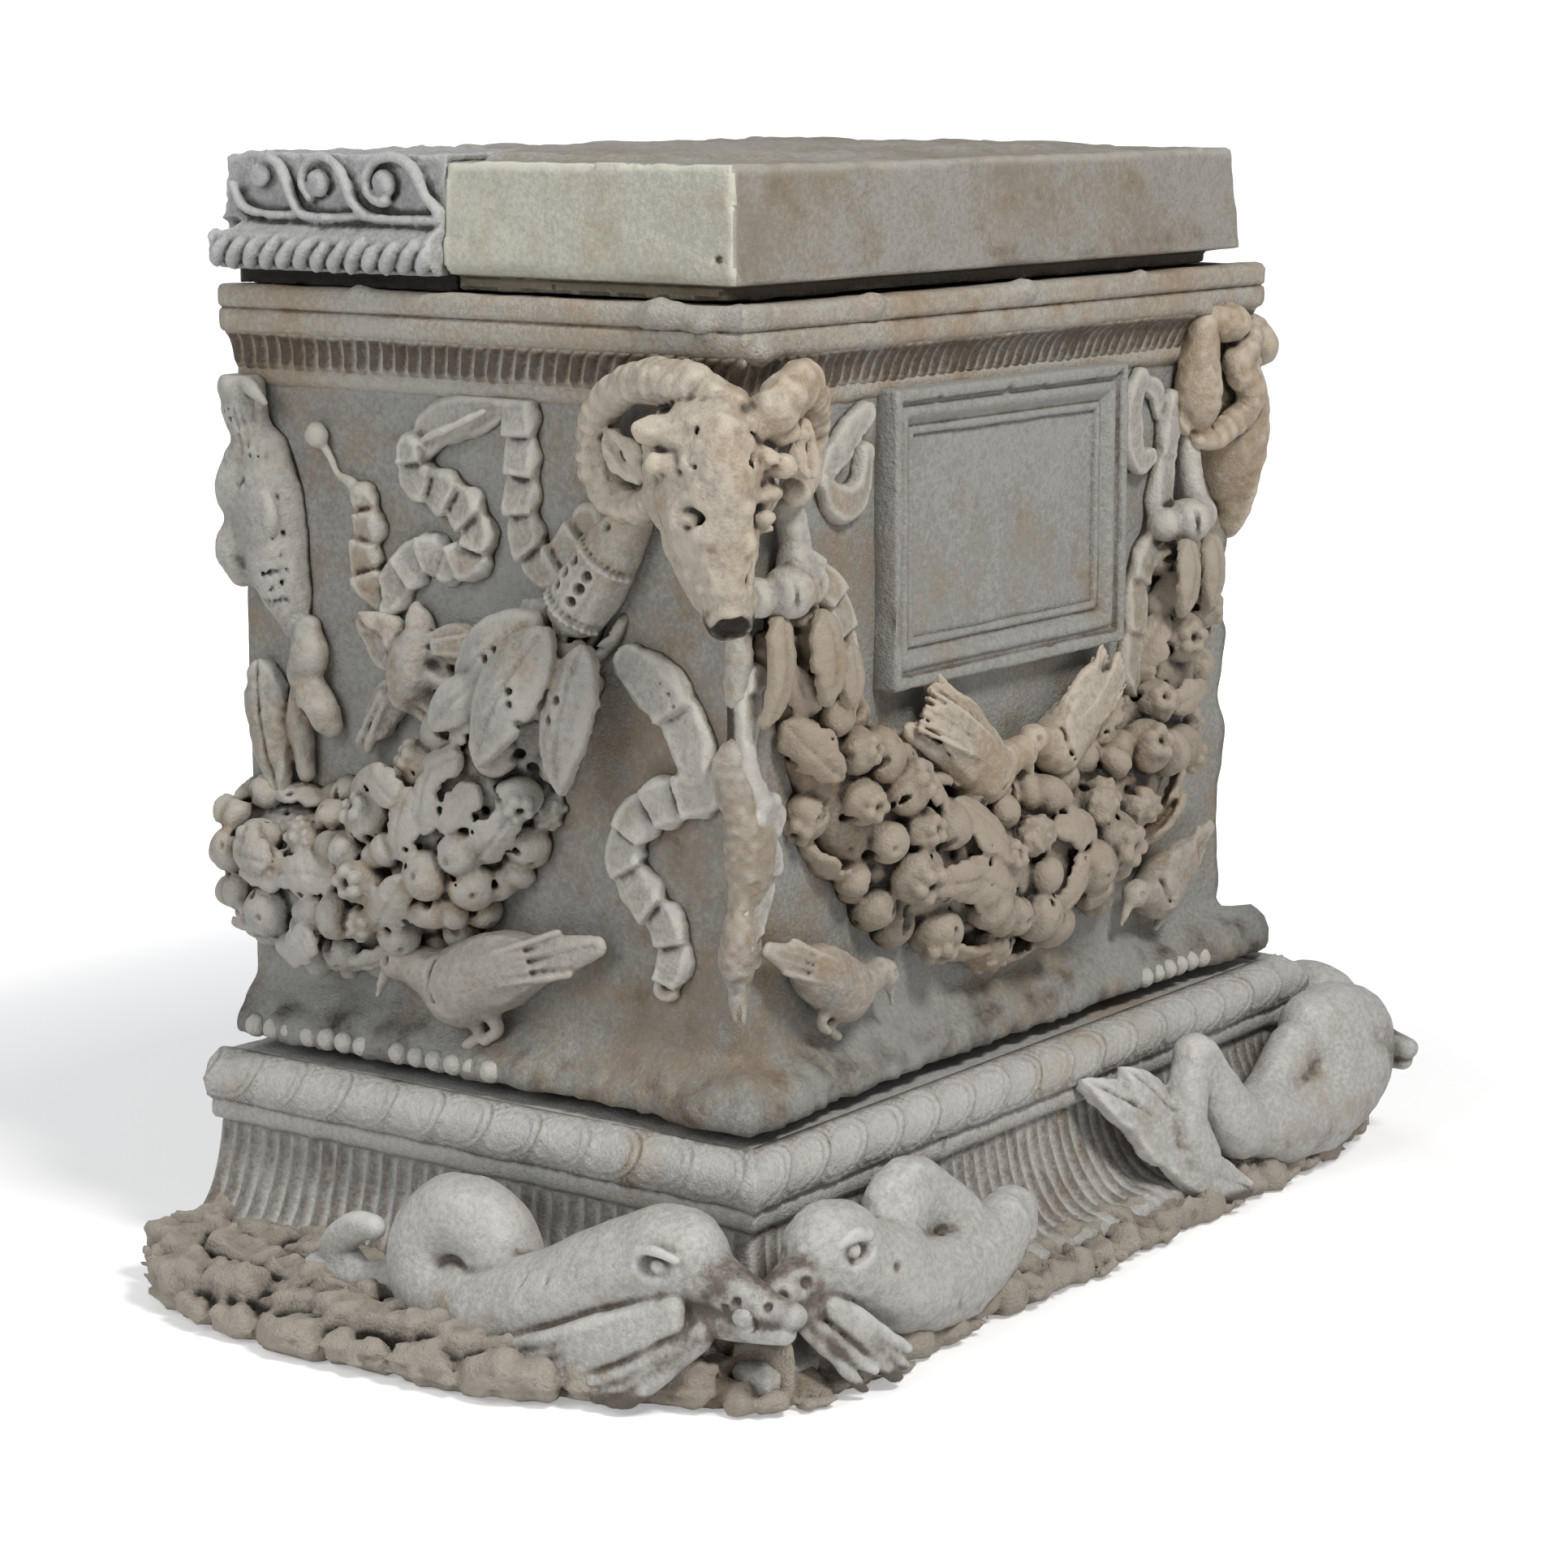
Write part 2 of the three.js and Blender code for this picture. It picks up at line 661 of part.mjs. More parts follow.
// The chest: one block with cornice, foot, panel and all its carving, hollowed from the top.
function chest() {
  const size = { halfWidth: chestHalfWidth, front: chestFront, back: chestBack, bite: reliefBite };
  const grooveTop = chestTop - upperFilletHeight;
  const grooveFoot = grooveTop - filletGroove;
  const fascia = [
    [corniceOverhang, chestTop],
    [corniceOverhang, grooveTop],
    [corniceOverhang - filletGroove, grooveTop - filletGroove / 2],
    [corniceOverhang, grooveFoot],
    [corniceOverhang, fasciaFoot],
  ];
  const corniceNarrow = [filletGroove, corniceFluteFoot];
  const corniceWide = [corniceOverhang - filletGroove, fasciaFoot];
  const hollow = hollowProfile(corniceNarrow, corniceWide, 1).reverse();
  const flutes = { pitch: corniceFlutePitch, depth: corniceFluteDepth, slant: corniceFluteSlant };
  const neck = [
    [neckFilletStep, corniceFluteFoot],
    [neckFilletStep, wallTop],
  ];
  const foot = [
    [0, chestFoot + footHeight + footSlope],
    [footOverhang, chestFoot + footHeight],
    [footOverhang, chestFoot],
  ];
  const body = block([-chestHalfWidth, -chestFront, chestFoot], [chestHalfWidth, chestBack, chestTop]);
  const cavity = block(
    [-chestHalfWidth + hollowWall, -chestFront + hollowWall, chestTop - hollowDepth],
    [chestHalfWidth - hollowWall, chestBack - hollowWall, chestTop + overrun],
  );
  const backCut = block(
    [-2 * chestHalfWidth, chestBack, 0],
    [2 * chestHalfWidth, chestBack + chestFront, lidTop],
  );
  return join([
    body,
    course(size, fascia),
    course(size, hollow, flutes),
    course(size, neck),
    course(size, foot),
    panel(),
    ...sideCarving(leftWall),
    ...sideCarving(rightWall),
    ...frontCarving(),
    ...cornerRibbons(-1),
    ...cornerRibbons(1),
    ...ramHead(-1, true),
    ...ramHead(1, false),
    ...beadRun(leftWall, 0.3, 0.98),
    ...beadRun(rightWall, 0.3, 0.98),
    ...beadRun(frontWall, 0.72, 0.98),
  ])
    .subtract(backCut)
    .subtract(cavity);
}

// A sea creature lying round a plinth corner: curled tail, humped body, head and two forelegs.
function seaCreature(corner, along, out) {
  const up = new THREE.Vector3(0, 0, 1);
  const at = ([alongShare, upShare, outShare]) => {
    const point = corner.clone().addScaledVector(along, alongShare * creatureSpan);
    point.addScaledVector(up, upShare * creatureRise).addScaledVector(out, outShare * creatureOut);
    return point;
  };
  const tube = (stopShares, steps, sides) =>
    taperedTube(
      stopShares.map((stop) => [at(stop), stop[3] * creatureGirth]),
      steps,
      sides,
    );
  const coilSteps = 12;
  const coil = Array.from({ length: coilSteps + 1 }, (_, i) => {
    const angle = -0.6 + (i / coilSteps) * 2 * Math.PI * 0.92;
    const centre = at([0.53, 0.59, 1]).addScaledVector(along, coilRadius * Math.cos(angle));
    return [centre.addScaledVector(up, coilRadius * Math.sin(angle)), creatureGirth * (1 - i * 0.015)];
  });
  const bodyShares = [
    [0.54, 0.28, 1, 0.92],
    [0.38, 0.34, 1, 1.05],
    [0.22, 0.6, 1, 1.1],
    [0.08, 0.82, 0.95, 1.12],
    [-0.03, 0.86, 0.9, 1],
    [-0.13, 0.78, 0.8, 0.66],
    [-0.2, 0.74, 0.72, 0.42],
  ];
  const tailShares = [
    [0.66, 0.42, 0.9, 0.75],
    [0.78, 0.32, 0.8, 0.5],
    [0.88, 0.2, 0.8, 0.55],
    [0.96, 0.42, 0.8, 0.3],
  ];
  const legShares = [
    [-0.02, 0.6, 1, 0.5],
    [0.14, 0.3, 1.15, 0.42],
    [0.32, 0.12, 1.25, 0.4],
  ];
  return [
    taperedTube(coil, 10, 6),
    bead(at([0.53, 0.59, 1]), [along, up, out], [coilRadius, coilRadius, creatureGirth * 0.6]),
    tube(bodyShares, 8, 7),
    tube(tailShares, 4, 5),
    tube(legShares, 3, 5),
  ];
}

// Rocks and little waves round the plinth's foot, as flat lumps along its outline.
function rocks(outline) {
  const pieces = [];
  for (let edge = 0; edge + 1 < outline.length; edge += 1) {
    const from = new THREE.Vector3(...outline[edge], rockHeight * 0.55);
    const to = new THREE.Vector3(...outline[edge + 1], rockHeight * 0.55);
    const along = new THREE.Vector3().subVectors(to, from);
    const inward = new THREE.Vector3(-along.y, along.x, 0).normalize();
    const centre = from.clone().lerp(to, 0.5).addScaledVector(inward, rockSize * 0.55);
    const swell = 1 + 0.15 * Math.sin(5 * edge);
    const radii = [along.length() * 0.62 * swell, rockSize * 0.6, rockHeight * 0.62 * swell];
    pieces.push(bead(centre, [along, inward, new THREE.Vector3(0, 0, 1)], radii));
  }
  return pieces;
}

// The plinth: rocky foot, fluted hollow, fillet and roll on three sides, with four sea creatures.
function plinth() {
  const footShares = [
    [-0.88, 0.86],
    [-0.98, 0.2],
    [-0.98, -0.3],
    [-0.88, -0.8],
    [-0.7, -0.97],
    [0, -0.95],
    [0.72, -0.95],
    [0.94, -0.84],
    [0.99, -0.3],
    [0.98, 0.2],
    [0.88, 0.86],
  ];
  const corners = footShares.map(([x, y]) => {
    return new THREE.Vector3(x * rockHalfWidth, y > 0 ? y * chestBack : y * rockFront, 0);
  });
  const outline = new THREE.CatmullRomCurve3(corners).getPoints(20).map(({ x, y }) => [x, y]);
  const backLeft = [-plinthHalfWidth, chestBack];
  const backRight = [plinthHalfWidth, chestBack];
  const footOutline = [...outline, backRight, backLeft];
  const size = { halfWidth: plinthHalfWidth, front: plinthFront, back: chestBack, bite: reliefBite };
  const rollCentre = plinthHeight - rollRadius;
  const rollFoot = rollCentre - rollRadius;
  const rollSteps = 6;
  const roll = Array.from({ length: rollSteps + 1 }, (_, i) => {
    const angle = Math.PI / 2 - (i / rollSteps) * Math.PI;
    return [rollRadius * Math.cos(angle), rollCentre + rollRadius * Math.sin(angle)];
  });
  const fillet = [
    [rollFilletStep, rollFoot + overrun],
    [rollFilletStep, rollFoot - rollFilletHeight],
  ];
  const fluteTop = rollFoot - rollFilletHeight;
  const hollow = hollowProfile([0, fluteTop], [plinthFluteFlare, rockHeight * 0.8], 2);
  const flutes = { pitch: plinthFlutePitch, depth: plinthFluteDepth, slant: 0 };
  const body = block([-plinthHalfWidth, -plinthFront, 0], [plinthHalfWidth, chestBack, plinthHeight]);
  const creatures = [-1, 1].flatMap((hand) => {
    const corner = new THREE.Vector3(hand * plinthHalfWidth, -plinthFront, 0);
    const sideways = new THREE.Vector3(hand, 0, 0);
    const back = new THREE.Vector3(0, 1, 0);
    const forward = new THREE.Vector3(0, -1, 0);
    const inward = new THREE.Vector3(-hand, 0, 0);
    const farEnd = corner.clone().addScaledVector(inward, creatureSpan * 0.75);
    const front = hand < 0 ? seaCreature(corner, inward, forward) : seaCreature(farEnd, sideways, forward);
    return [...seaCreature(corner, back, sideways), ...front];
  });
  const below = block(
    [-2 * rockHalfWidth, -2 * rockFront, -rockHeight - rockSize],
    [2 * rockHalfWidth, 2 * rockFront, 0],
  );
  const behind = block(
    [-2 * rockHalfWidth, chestBack, -overrun],
    [2 * rockHalfWidth, chestBack + rockFront, plinthHeight + overrun],
  );
  return join([
    body,
    slab(footOutline, 0, rockHeight * 0.6),
    course(size, hollow, flutes),
    course(size, fillet),
    course(size, roll),
    ...rocks(outline),
    ...creatures,
  ])
    .subtract(below)
    .subtract(behind);
}

// The lid's outline from above, with a rounded front right corner.
function lidOutline(inset) {
  const left = -lidHalfWidth + inset;
  const right = lidHalfWidth - inset;
  const front = -lidFront + inset;
  const back = chestBack - inset;
  const arcSteps = 4;
  const arc = Array.from({ length: arcSteps + 1 }, (_, i) => {
    const angle = -Math.PI / 2 + (i / arcSteps) * (Math.PI / 2);
    return [
      right - lidCornerRadius + lidCornerRadius * Math.cos(angle),
      front + lidCornerRadius + lidCornerRadius * Math.sin(angle),
    ];
  });
  return [[left, front], ...arc, [right, back], [left, back]];
}

// The join line between old and new marble, seen from above, drawn back by a gap.
function joinOutline(gap, reach) {
  const left = -lidHalfWidth;
  const frontEdge = chestBack - fragmentLength - gap;
  return [
    [left - reach, frontEdge],
    [left, frontEdge],
    [left + fragmentDepth * 0.45, frontEdge + fragmentLength * 0.06],
    [left + fragmentDepth * 0.8 + gap, frontEdge + fragmentLength * 0.36],
    [left + fragmentDepth + gap, chestBack - fragmentLength * 0.3],
    [left + fragmentDepth + gap, chestBack + reach],
    [left - reach, chestBack + reach],
  ];
}

// The whole lid as if it were one stone: rebate, sloped edge, sides and rough raised top.
function lidBlock() {
  const edge = chestTop + lidRebateHeight;
  const rings = [
    levelRing(lidOutline(lidRebateInset), chestTop),
    levelRing(lidOutline(0), edge),
    levelRing(lidOutline(lidBatter), lidTop - lidRoughRise),
  ];
  const roughTop = [
    levelRing(lidOutline(lidRoughInset), lidTop - lidRoughRise - overrun),
    levelRing(lidOutline(lidRoughInset + lidBatter), lidTop),
  ];
  return loft(rings).add(loft(roughTop));
}

// The dowels' places: one crosses each leg of the join. Each is [middle of the dowel, its direction].
function dowelPlaces() {
  const level = chestTop + lidHeight / 2;
  const left = -lidHalfWidth;
  return [
    [new THREE.Vector3(left + fragmentDepth * 0.42, chestBack - fragmentLength * 0.94, level), "Y"],
    [new THREE.Vector3(left + fragmentDepth, chestBack - fragmentLength * 0.25, level), "X"],
  ];
}

// A dowel, or with a clearance the hole that it sits in.
function dowel([middle, direction], clearance) {
  const length = dowelLength + 2 * clearance;
  const rod = new THREE.CylinderGeometry(dowelRadius + clearance, dowelRadius + clearance, length, 12);
  if (direction === "X") rod.rotateZ(Math.PI / 2);
  return solid(rod.translate(middle.x, middle.y, middle.z));
}

// One crest of the running wave: a band that curls in on itself.
function waveScroll(centreY, centreLevel, face) {
  const turns = 1.3;
  const steps = 11;
  const stops = Array.from({ length: steps + 1 }, (_, i) => {
    const share = i / steps;
    const angle = -Math.PI / 2 - share * turns * 2 * Math.PI;
    const radius = scrollRadius * (1.5 - 1.15 * share);
    const point = new THREE.Vector3(
      face,
      centreY + radius * Math.cos(angle),
      centreLevel + radius * Math.sin(angle),
    );
    return [point, scrollBand];
  });
  return taperedTube(stops, steps + 1, 4);
}

// The old fragment: running wave over a rope moulding on its outer face, with a broken join face.
function lidFragment() {
  const stone = lidBlock().intersect(slab(joinOutline(0, overrun), chestTop - overrun, lidTop + overrun));
  const ropeLevel = chestTop + lidRebateHeight + ropeRadius;
  const ropeCount = Math.floor((fragmentLength - 2 * ropeRadius) / ropePitch);
  const pieces = [stone];
  for (let i = 0; i < ropeCount; i += 1) {
    const y = chestBack - ropeRadius - (i + 0.5) * ropePitch;
    const centre = new THREE.Vector3(-lidHalfWidth, y, ropeLevel);
    const slant = new THREE.Vector3(0, -0.7, 1);
    const along = new THREE.Vector3(0, 1, 0.7);
    const radii = [ropeRadius * 1.15, ropePitch * 0.55, ropeRadius * 1.3];
    pieces.push(bead(centre, [slant, along, new THREE.Vector3(1, 0, 0)], radii));
  }
  const scrollLevel = ropeLevel + ropeRadius + 1.6 * scrollRadius;
  const scrollCount = Math.floor(fragmentLength / scrollPitch);
  for (let i = 0; i < scrollCount; i += 1) {
    const y = chestBack - fragmentLength + scrollPitch * (i + 0.6);
    pieces.push(waveScroll(y, scrollLevel, -lidHalfWidth + lidBatter / 2));
  }
  const behind = block(
    [-2 * lidHalfWidth, chestBack, chestTop],
    [0, chestBack + fragmentLength, lidTop + overrun],
  );
  const holes = join(dowelPlaces().map((place) => dowel(place, jointGap)));
  return join(pieces).subtract(behind).subtract(holes);
}

// The restored rest of the lid, cut to fit round the fragment.
function lidRestoration() {
  const cut = slab(joinOutline(jointGap, lidHalfWidth), chestTop - overrun, lidTop + overrun);
  const holes = join(dowelPlaces().map((place) => dowel(place, jointGap)));
  return lidBlock().subtract(cut).subtract(holes);
}

// A thin rubber pad under one corner of the chest.
function shim(handX, handY) {
  const x = handX * (chestHalfWidth - shimInset - shimLength / 2);
  const edge = handY > 0 ? chestBack : chestFront;
  const y = handY * (edge - shimInset - shimWidth / 2);
  return block(
    [x - shimLength / 2, y - shimWidth / 2, plinthHeight],
    [x + shimLength / 2, y + shimWidth / 2, chestFoot],
  );
}

// Materials
function marble(colour, roughness) {
  return new THREE.MeshStandardMaterial({ color: colour, roughness, metalness: 0 });
}
const patinatedMarble = marble(0xcfc4b2, 0.7);
const whiteMarble = marble(0xd8d4cb, 0.6);
const greyMarble = marble(0xb9b6b0, 0.65);
const creamMarble = marble(0xddd8c4, 0.5);
const padRubber = new THREE.MeshStandardMaterial({ color: 0x2c2b2a, roughness: 0.85, metalness: 0 });
const dowelSteel = new THREE.MeshStandardMaterial({ color: 0x9a9da0, roughness: 0.35, metalness: 1 });

// Makes a named mesh from a finished solid.
function mesh(name, made, material) {
  const { vertProperties, triVerts } = made.getMesh();
  const geometry = new THREE.BufferGeometry();
  geometry.setAttribute("position", new THREE.BufferAttribute(new Float32Array(vertProperties), 3));
  geometry.setIndex(new THREE.BufferAttribute(new Uint32Array(triVerts), 1));
  geometry.computeVertexNormals();
  const piece = new THREE.Mesh(geometry, material);
  piece.name = name;
  return piece;
}

// The assembly
const plinthGroup = new THREE.Group();
plinthGroup.add(mesh("plinth", plinth(), whiteMarble));
[
  ["shim_front_left", -1, -1],
  ["shim_front_right", 1, -1],
  ["shim_back_left", -1, 1],
  ["shim_back_right", 1, 1],
].forEach(([name, handX, handY]) => plinthGroup.add(mesh(name, shim(handX, handY), padRubber)));

const lidGroup = new THREE.Group();
lidGroup.add(mesh("lid_fragment", lidFragment(), greyMarble));
lidGroup.add(mesh("lid_restoration", lidRestoration(), creamMarble));
dowelPlaces().forEach((place, i) => {
  lidGroup.add(mesh("lid_dowel_" + (i + 1), dowel(place, 0), dowelSteel));
});

const urn = new THREE.Group();
urn.add(plinthGroup, mesh("chest", chest(), patinatedMarble), lidGroup);

export default urn;
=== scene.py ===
from math import cos, pi, radians, sin

import bmesh
import bpy
import numpy as np
import openvdb
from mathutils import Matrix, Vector


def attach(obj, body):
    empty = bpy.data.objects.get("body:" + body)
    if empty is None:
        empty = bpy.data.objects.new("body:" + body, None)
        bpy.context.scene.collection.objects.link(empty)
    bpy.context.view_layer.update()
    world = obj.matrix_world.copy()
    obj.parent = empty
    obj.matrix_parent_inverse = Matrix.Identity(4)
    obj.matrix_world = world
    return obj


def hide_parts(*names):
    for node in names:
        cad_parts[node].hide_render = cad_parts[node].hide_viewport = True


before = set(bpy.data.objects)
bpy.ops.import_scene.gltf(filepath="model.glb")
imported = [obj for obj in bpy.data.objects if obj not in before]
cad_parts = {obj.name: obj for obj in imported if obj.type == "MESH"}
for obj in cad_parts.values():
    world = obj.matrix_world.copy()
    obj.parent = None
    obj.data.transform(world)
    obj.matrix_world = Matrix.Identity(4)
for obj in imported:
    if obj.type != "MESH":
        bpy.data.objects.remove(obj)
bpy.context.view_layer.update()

# Camera and floor. The camera stands left of the near front corner, a little above the lid.
# Lights are large and soft, as in a photo studio, with the main one high on the left.
SENSOR_WIDTH, LENS_LENGTH = 36.0, 89.44
CAMERA_PLACE = (-1.40439, -1.03328, 0.51637)
LOOKS_DOWN, TURNED = 10.56, -53.93
camera = bpy.data.objects.new("camera", bpy.data.cameras.new("camera"))
camera.data.sensor_width = SENSOR_WIDTH
camera.data.lens = LENS_LENGTH
camera.location = CAMERA_PLACE
camera.rotation_euler = (radians(90 - LOOKS_DOWN), 0.0, radians(TURNED))
bpy.context.collection.objects.link(camera)
bpy.context.scene.camera = camera
bpy.context.scene.view_settings.view_transform = "Standard"


def area_light(name, place, target, size, power, colour=(1.0, 1.0, 1.0)):
    """A square soft light that looks at a point."""
    lamp = bpy.data.lights.new(name, "AREA")
    lamp.size = size
    lamp.energy = power
    lamp.color = colour
    lamp_object = bpy.data.objects.new(name, lamp)
    lamp_object.location = place
    lamp_object.rotation_euler = (Vector(target) - Vector(place)).to_track_quat("-Z", "Y").to_euler()
    bpy.context.collection.objects.link(lamp_object)


URN_MIDDLE = (0.0, 0.0, 0.25)
area_light("key_light", (-0.55, -1.75, 2.2), URN_MIDDLE, 0.6, 44.0, (1.0, 0.98, 0.95))
area_light("side_light", (-2.4, 0.2, 1.5), URN_MIDDLE, 1.3, 20.0, (0.97, 0.99, 1.0))
area_light("back_light", (0.8, 2.0, 1.8), URN_MIDDLE, 1.2, 10.0)


def node_tree(name):
    """A new material, its node tree, and a function that adds a node with settings and links."""
    material = bpy.data.materials.new(name)
    material.use_nodes = True
    tree = material.node_tree
    tree.nodes.clear()

    def add(kind, inputs=(), **settings):
        node = tree.nodes.new("ShaderNode" + kind)
        for key, value in settings.items():
            setattr(node, key, value)
        for key, value in dict(inputs).items():
            socket = node.inputs[key]
            if isinstance(value, bpy.types.NodeSocket):
                tree.links.new(value, socket)
            else:
                socket.default_value = value
        return node

    return material, tree, add


def seen_white(name, ground):
    """Pale paper that takes the object's shadow. The camera sees it lifted, and pure white far away."""
    material, _, add = node_tree(name)
    matte = add("BsdfDiffuse", {"Color": (ground, ground, ground, 1.0)})
    place = add("TexCoord").outputs["Object"]
    away = add("VectorMath", {0: place}, operation="LENGTH").outputs["Value"]
    near_white, far_white = 0.34, 1.0
    spread = {"From Min": 0.42, "From Max": 1.2, "To Min": near_white, "To Max": far_white}
    far = add("MapRange", {"Value": away, **spread})
    to_camera = add("LightPath").outputs["Is Camera Ray"]
    lift = add("Math", {0: far.outputs[0], 1: to_camera}, operation="MULTIPLY")
    glow = add("Emission", {"Color": (1.0, 1.0, 1.0, 1.0), "Strength": lift.outputs[0]})
    both = add("AddShader", {0: matte.outputs[0], 1: glow.outputs[0]})
    add("OutputMaterial", {"Surface": both.outputs[0]})
    return material


floor_mesh = bpy.data.meshes.new("floor")
PAPER_HALF = 30.0
paper_corners = [(x * PAPER_HALF, y * PAPER_HALF, 0) for x, y in ((-1, -1), (1, -1), (1, 1), (-1, 1))]
floor_mesh.from_pydata(paper_corners, [], [(0, 1, 2, 3)])
floor_mesh.materials.append(seen_white("studio_paper", 0.92))
floor = bpy.data.objects.new("floor", floor_mesh)
floor.location.z = -0.0005
bpy.context.collection.objects.link(floor)

world = bpy.data.worlds.new("studio")
bpy.context.scene.world = world
world.use_nodes = True
world_nodes = world.node_tree.nodes
world_links = world.node_tree.links
soft_sky = world_nodes["Background"]
soft_sky.inputs["Color"].default_value = (0.93, 0.95, 1.0, 1.0)
soft_sky.inputs["Strength"].default_value = 0.24
white_sky = world_nodes.new("ShaderNodeBackground")
white_sky.inputs["Color"].default_value = (1.0, 1.0, 1.0, 1.0)
light_path = world_nodes.new("ShaderNodeLightPath")
sky_choice = world_nodes.new("ShaderNodeMixShader")
world_links.new(light_path.outputs["Is Camera Ray"], sky_choice.inputs["Fac"])
world_links.new(soft_sky.outputs[0], sky_choice.inputs[1])
world_links.new(white_sky.outputs[0], sky_choice.inputs[2])
world_links.new(sky_choice.outputs[0], world_nodes["World Output"].inputs["Surface"])


# The plinth's block. One piece of white marble that carries the roll, the hollow and the foot.
# Sizes in millimetres, as everywhere below; a piece is turned to metres when its mesh is made.
PLINTH_SIDE, PLINTH_FRONT, BACK, PLINTH_TOP = 212.0, 148.0, 139.0, 90.0
LATTICE_SIZE = 32
LATTICE = np.random.default_rng(7).random((LATTICE_SIZE,) * 3).astype(np.float32)


def grain(points, size, seed=0):
    """Smooth random values between -1 and 1 in space, with bumps about this size."""
    place = np.asarray(points, np.float32) / size + 17.3 * seed
    cell = np.floor(place).astype(np.int32)
    share = place - cell
    share = share * share * (3 - 2 * share)
    low, high = cell % LATTICE_SIZE, (cell + 1) % LATTICE_SIZE
    total = 0.0
    for x, wx in ((low[..., 0], 1 - share[..., 0]), (high[..., 0], share[..., 0])):
        for y, wy in ((low[..., 1], 1 - share[..., 1]), (high[..., 1], share[..., 1])):
            for z, wz in ((low[..., 2], 1 - share[..., 2]), (high[..., 2], share[..., 2])):
                total = total + LATTICE[x, y, z] * wx * wy * wz
    return total * 2 - 1


def make_piece(name, points, quads, material, body, hollow=None, others=()):
    """A mesh object from millimetre points, riding on a body. hollow: 0 on ridges to 1 in recesses; the
    marble paints crust and shade in recesses and highlights on ridges from it.
    """
    mesh = bpy.data.meshes.new(name)
    quads = np.asarray(quads, np.int32)
    corners = quads.ravel().tolist()
    totals = [quads.shape[1]] * len(quads)
    for other in others:
        corners.extend(int(i) for i in other)
        totals.append(len(other))
    mesh.vertices.add(len(points))
    mesh.vertices.foreach_set("co", (np.asarray(points, np.float32) * 0.001).ravel())
    mesh.loops.add(len(corners))
    mesh.loops.foreach_set("vertex_index", np.array(corners, np.int32))
    mesh.polygons.add(len(totals))
    starts = np.concatenate([[0], np.cumsum(totals)[:-1]]).astype(np.int32)
    mesh.polygons.foreach_set("loop_start", starts)
    mesh.polygons.foreach_set("use_smooth", np.full(len(totals), True))
    mesh.update(calc_edges=True)
    mesh.validate()
    shade = mesh.attributes.new("hollow", "FLOAT", "POINT")
    values = np.full(len(points), 0.4, np.float32) if hollow is None else np.asarray(hollow, np.float32)
    shade.data.foreach_set("value", values.ravel())
    mesh.materials.append(material)
    piece = bpy.data.objects.new(name, mesh)
    bpy.context.collection.objects.link(piece)
    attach(piece, body)
    return piece


def sweep(name, corners, spacing, material, body, shape=None, closed=False):
    """A solid bar whose section (rows of corners) runs from corner to corner with mitred joints.
    shape(run, row share, place) gives the height of its carving and how hollow it looks."""
    corners = np.asarray(corners, float)
    rows, count = corners.shape[:2]
    sides = count if closed else count - 1
    points, runs, normals, side_normals = [], [], [], []
    for side in range(sides):
        run = corners[:, (side + 1) % count] - corners[:, side]
        across = np.gradient(corners[:, side] + corners[:, (side + 1) % count], axis=0)
        normal = np.cross(run, across)
        normal /= np.maximum(np.linalg.norm(normal, axis=1, keepdims=True), 1e-9)
        side_normals.append(normal)
    walked = 0.0
    for side in range(sides):
        start, end = corners[:, side], corners[:, (side + 1) % count]
        length = np.linalg.norm(end - start, axis=1).mean()
        columns = max(1, int(round(length / spacing)))
        for column in range(columns + (0 if closed or side + 1 < sides else 1)):
            share = column / columns
            place = start + (end - start) * share
            run = share * length
            before = side_normals[side - 1] if closed or side > 0 else 0 * side_normals[0]
            after = side_normals[(side + 1) % sides] if closed or side + 1 < sides else 0 * side_normals[0]
            near_start = max(0.0, 1 - run / 3.0)
            near_end = max(0.0, 1 - (length - run) / 3.0)
            points.append(place)
            normals.append(side_normals[side] + before * near_start + after * near_end)
            runs.append(np.stack([np.full(rows, walked + run), np.linspace(0, 1, rows)], 1))
        walked += length
    points, normals, runs = np.array(points), np.array(normals), np.array(runs)
    if shape:
        height, hollow = shape(runs[..., 0], runs[..., 1], points)
        points = points + normals * height[..., None]
    else:
        hollow = np.full(points.shape[:2], 0.4)
    total = len(points)
    index = np.arange(total * rows).reshape(total, rows)
    ahead = np.roll(index, -1, 0)
    beside = np.roll(index, -1, 1)
    both = np.roll(ahead, -1, 1)
    quads = np.stack([index, ahead, both, beside], -1)
    if not closed:
        quads = quads[:-1]
    ends = [] if closed else [index[0], index[-1][::-1]]
    quads = quads.reshape(-1, 4)
    flat = points.reshape(-1, 3)
    if volume(flat, quads) < 0:
        quads = quads[:, ::-1]
        ends = [end[::-1] for end in ends]
    return make_piece(name, flat, quads, material, body, hollow.ravel(), ends)


def volume(points, quads):
    """The signed volume inside a mesh, positive when its faces look outwards."""
    a, b, c, d = (points[quads[:, i]] for i in range(4))
    return (np.einsum("ij,ij->i", a, np.cross(b, c)) + np.einsum("ij,ij->i", a, np.cross(c, d))).sum() / 6


def moulding(name, profile, half_width, front, spacing, material, body, carving):
    """A moulding round the left, front and right of a block. profile: (out, level), top row first."""
    bite = 6.0
    rows = [*profile, (-bite, profile[-1][1]), (-bite, profile[0][1])]
    corners = [
        [
            (-half_width - out, BACK, level),
            (-half_width - out, -front - out, level),
            (half_width + out, -front - out, level),
            (half_width + out, BACK, level),
        ]
        for out, level in rows
    ]
    return sweep(name, corners, spacing, material, body, carving)


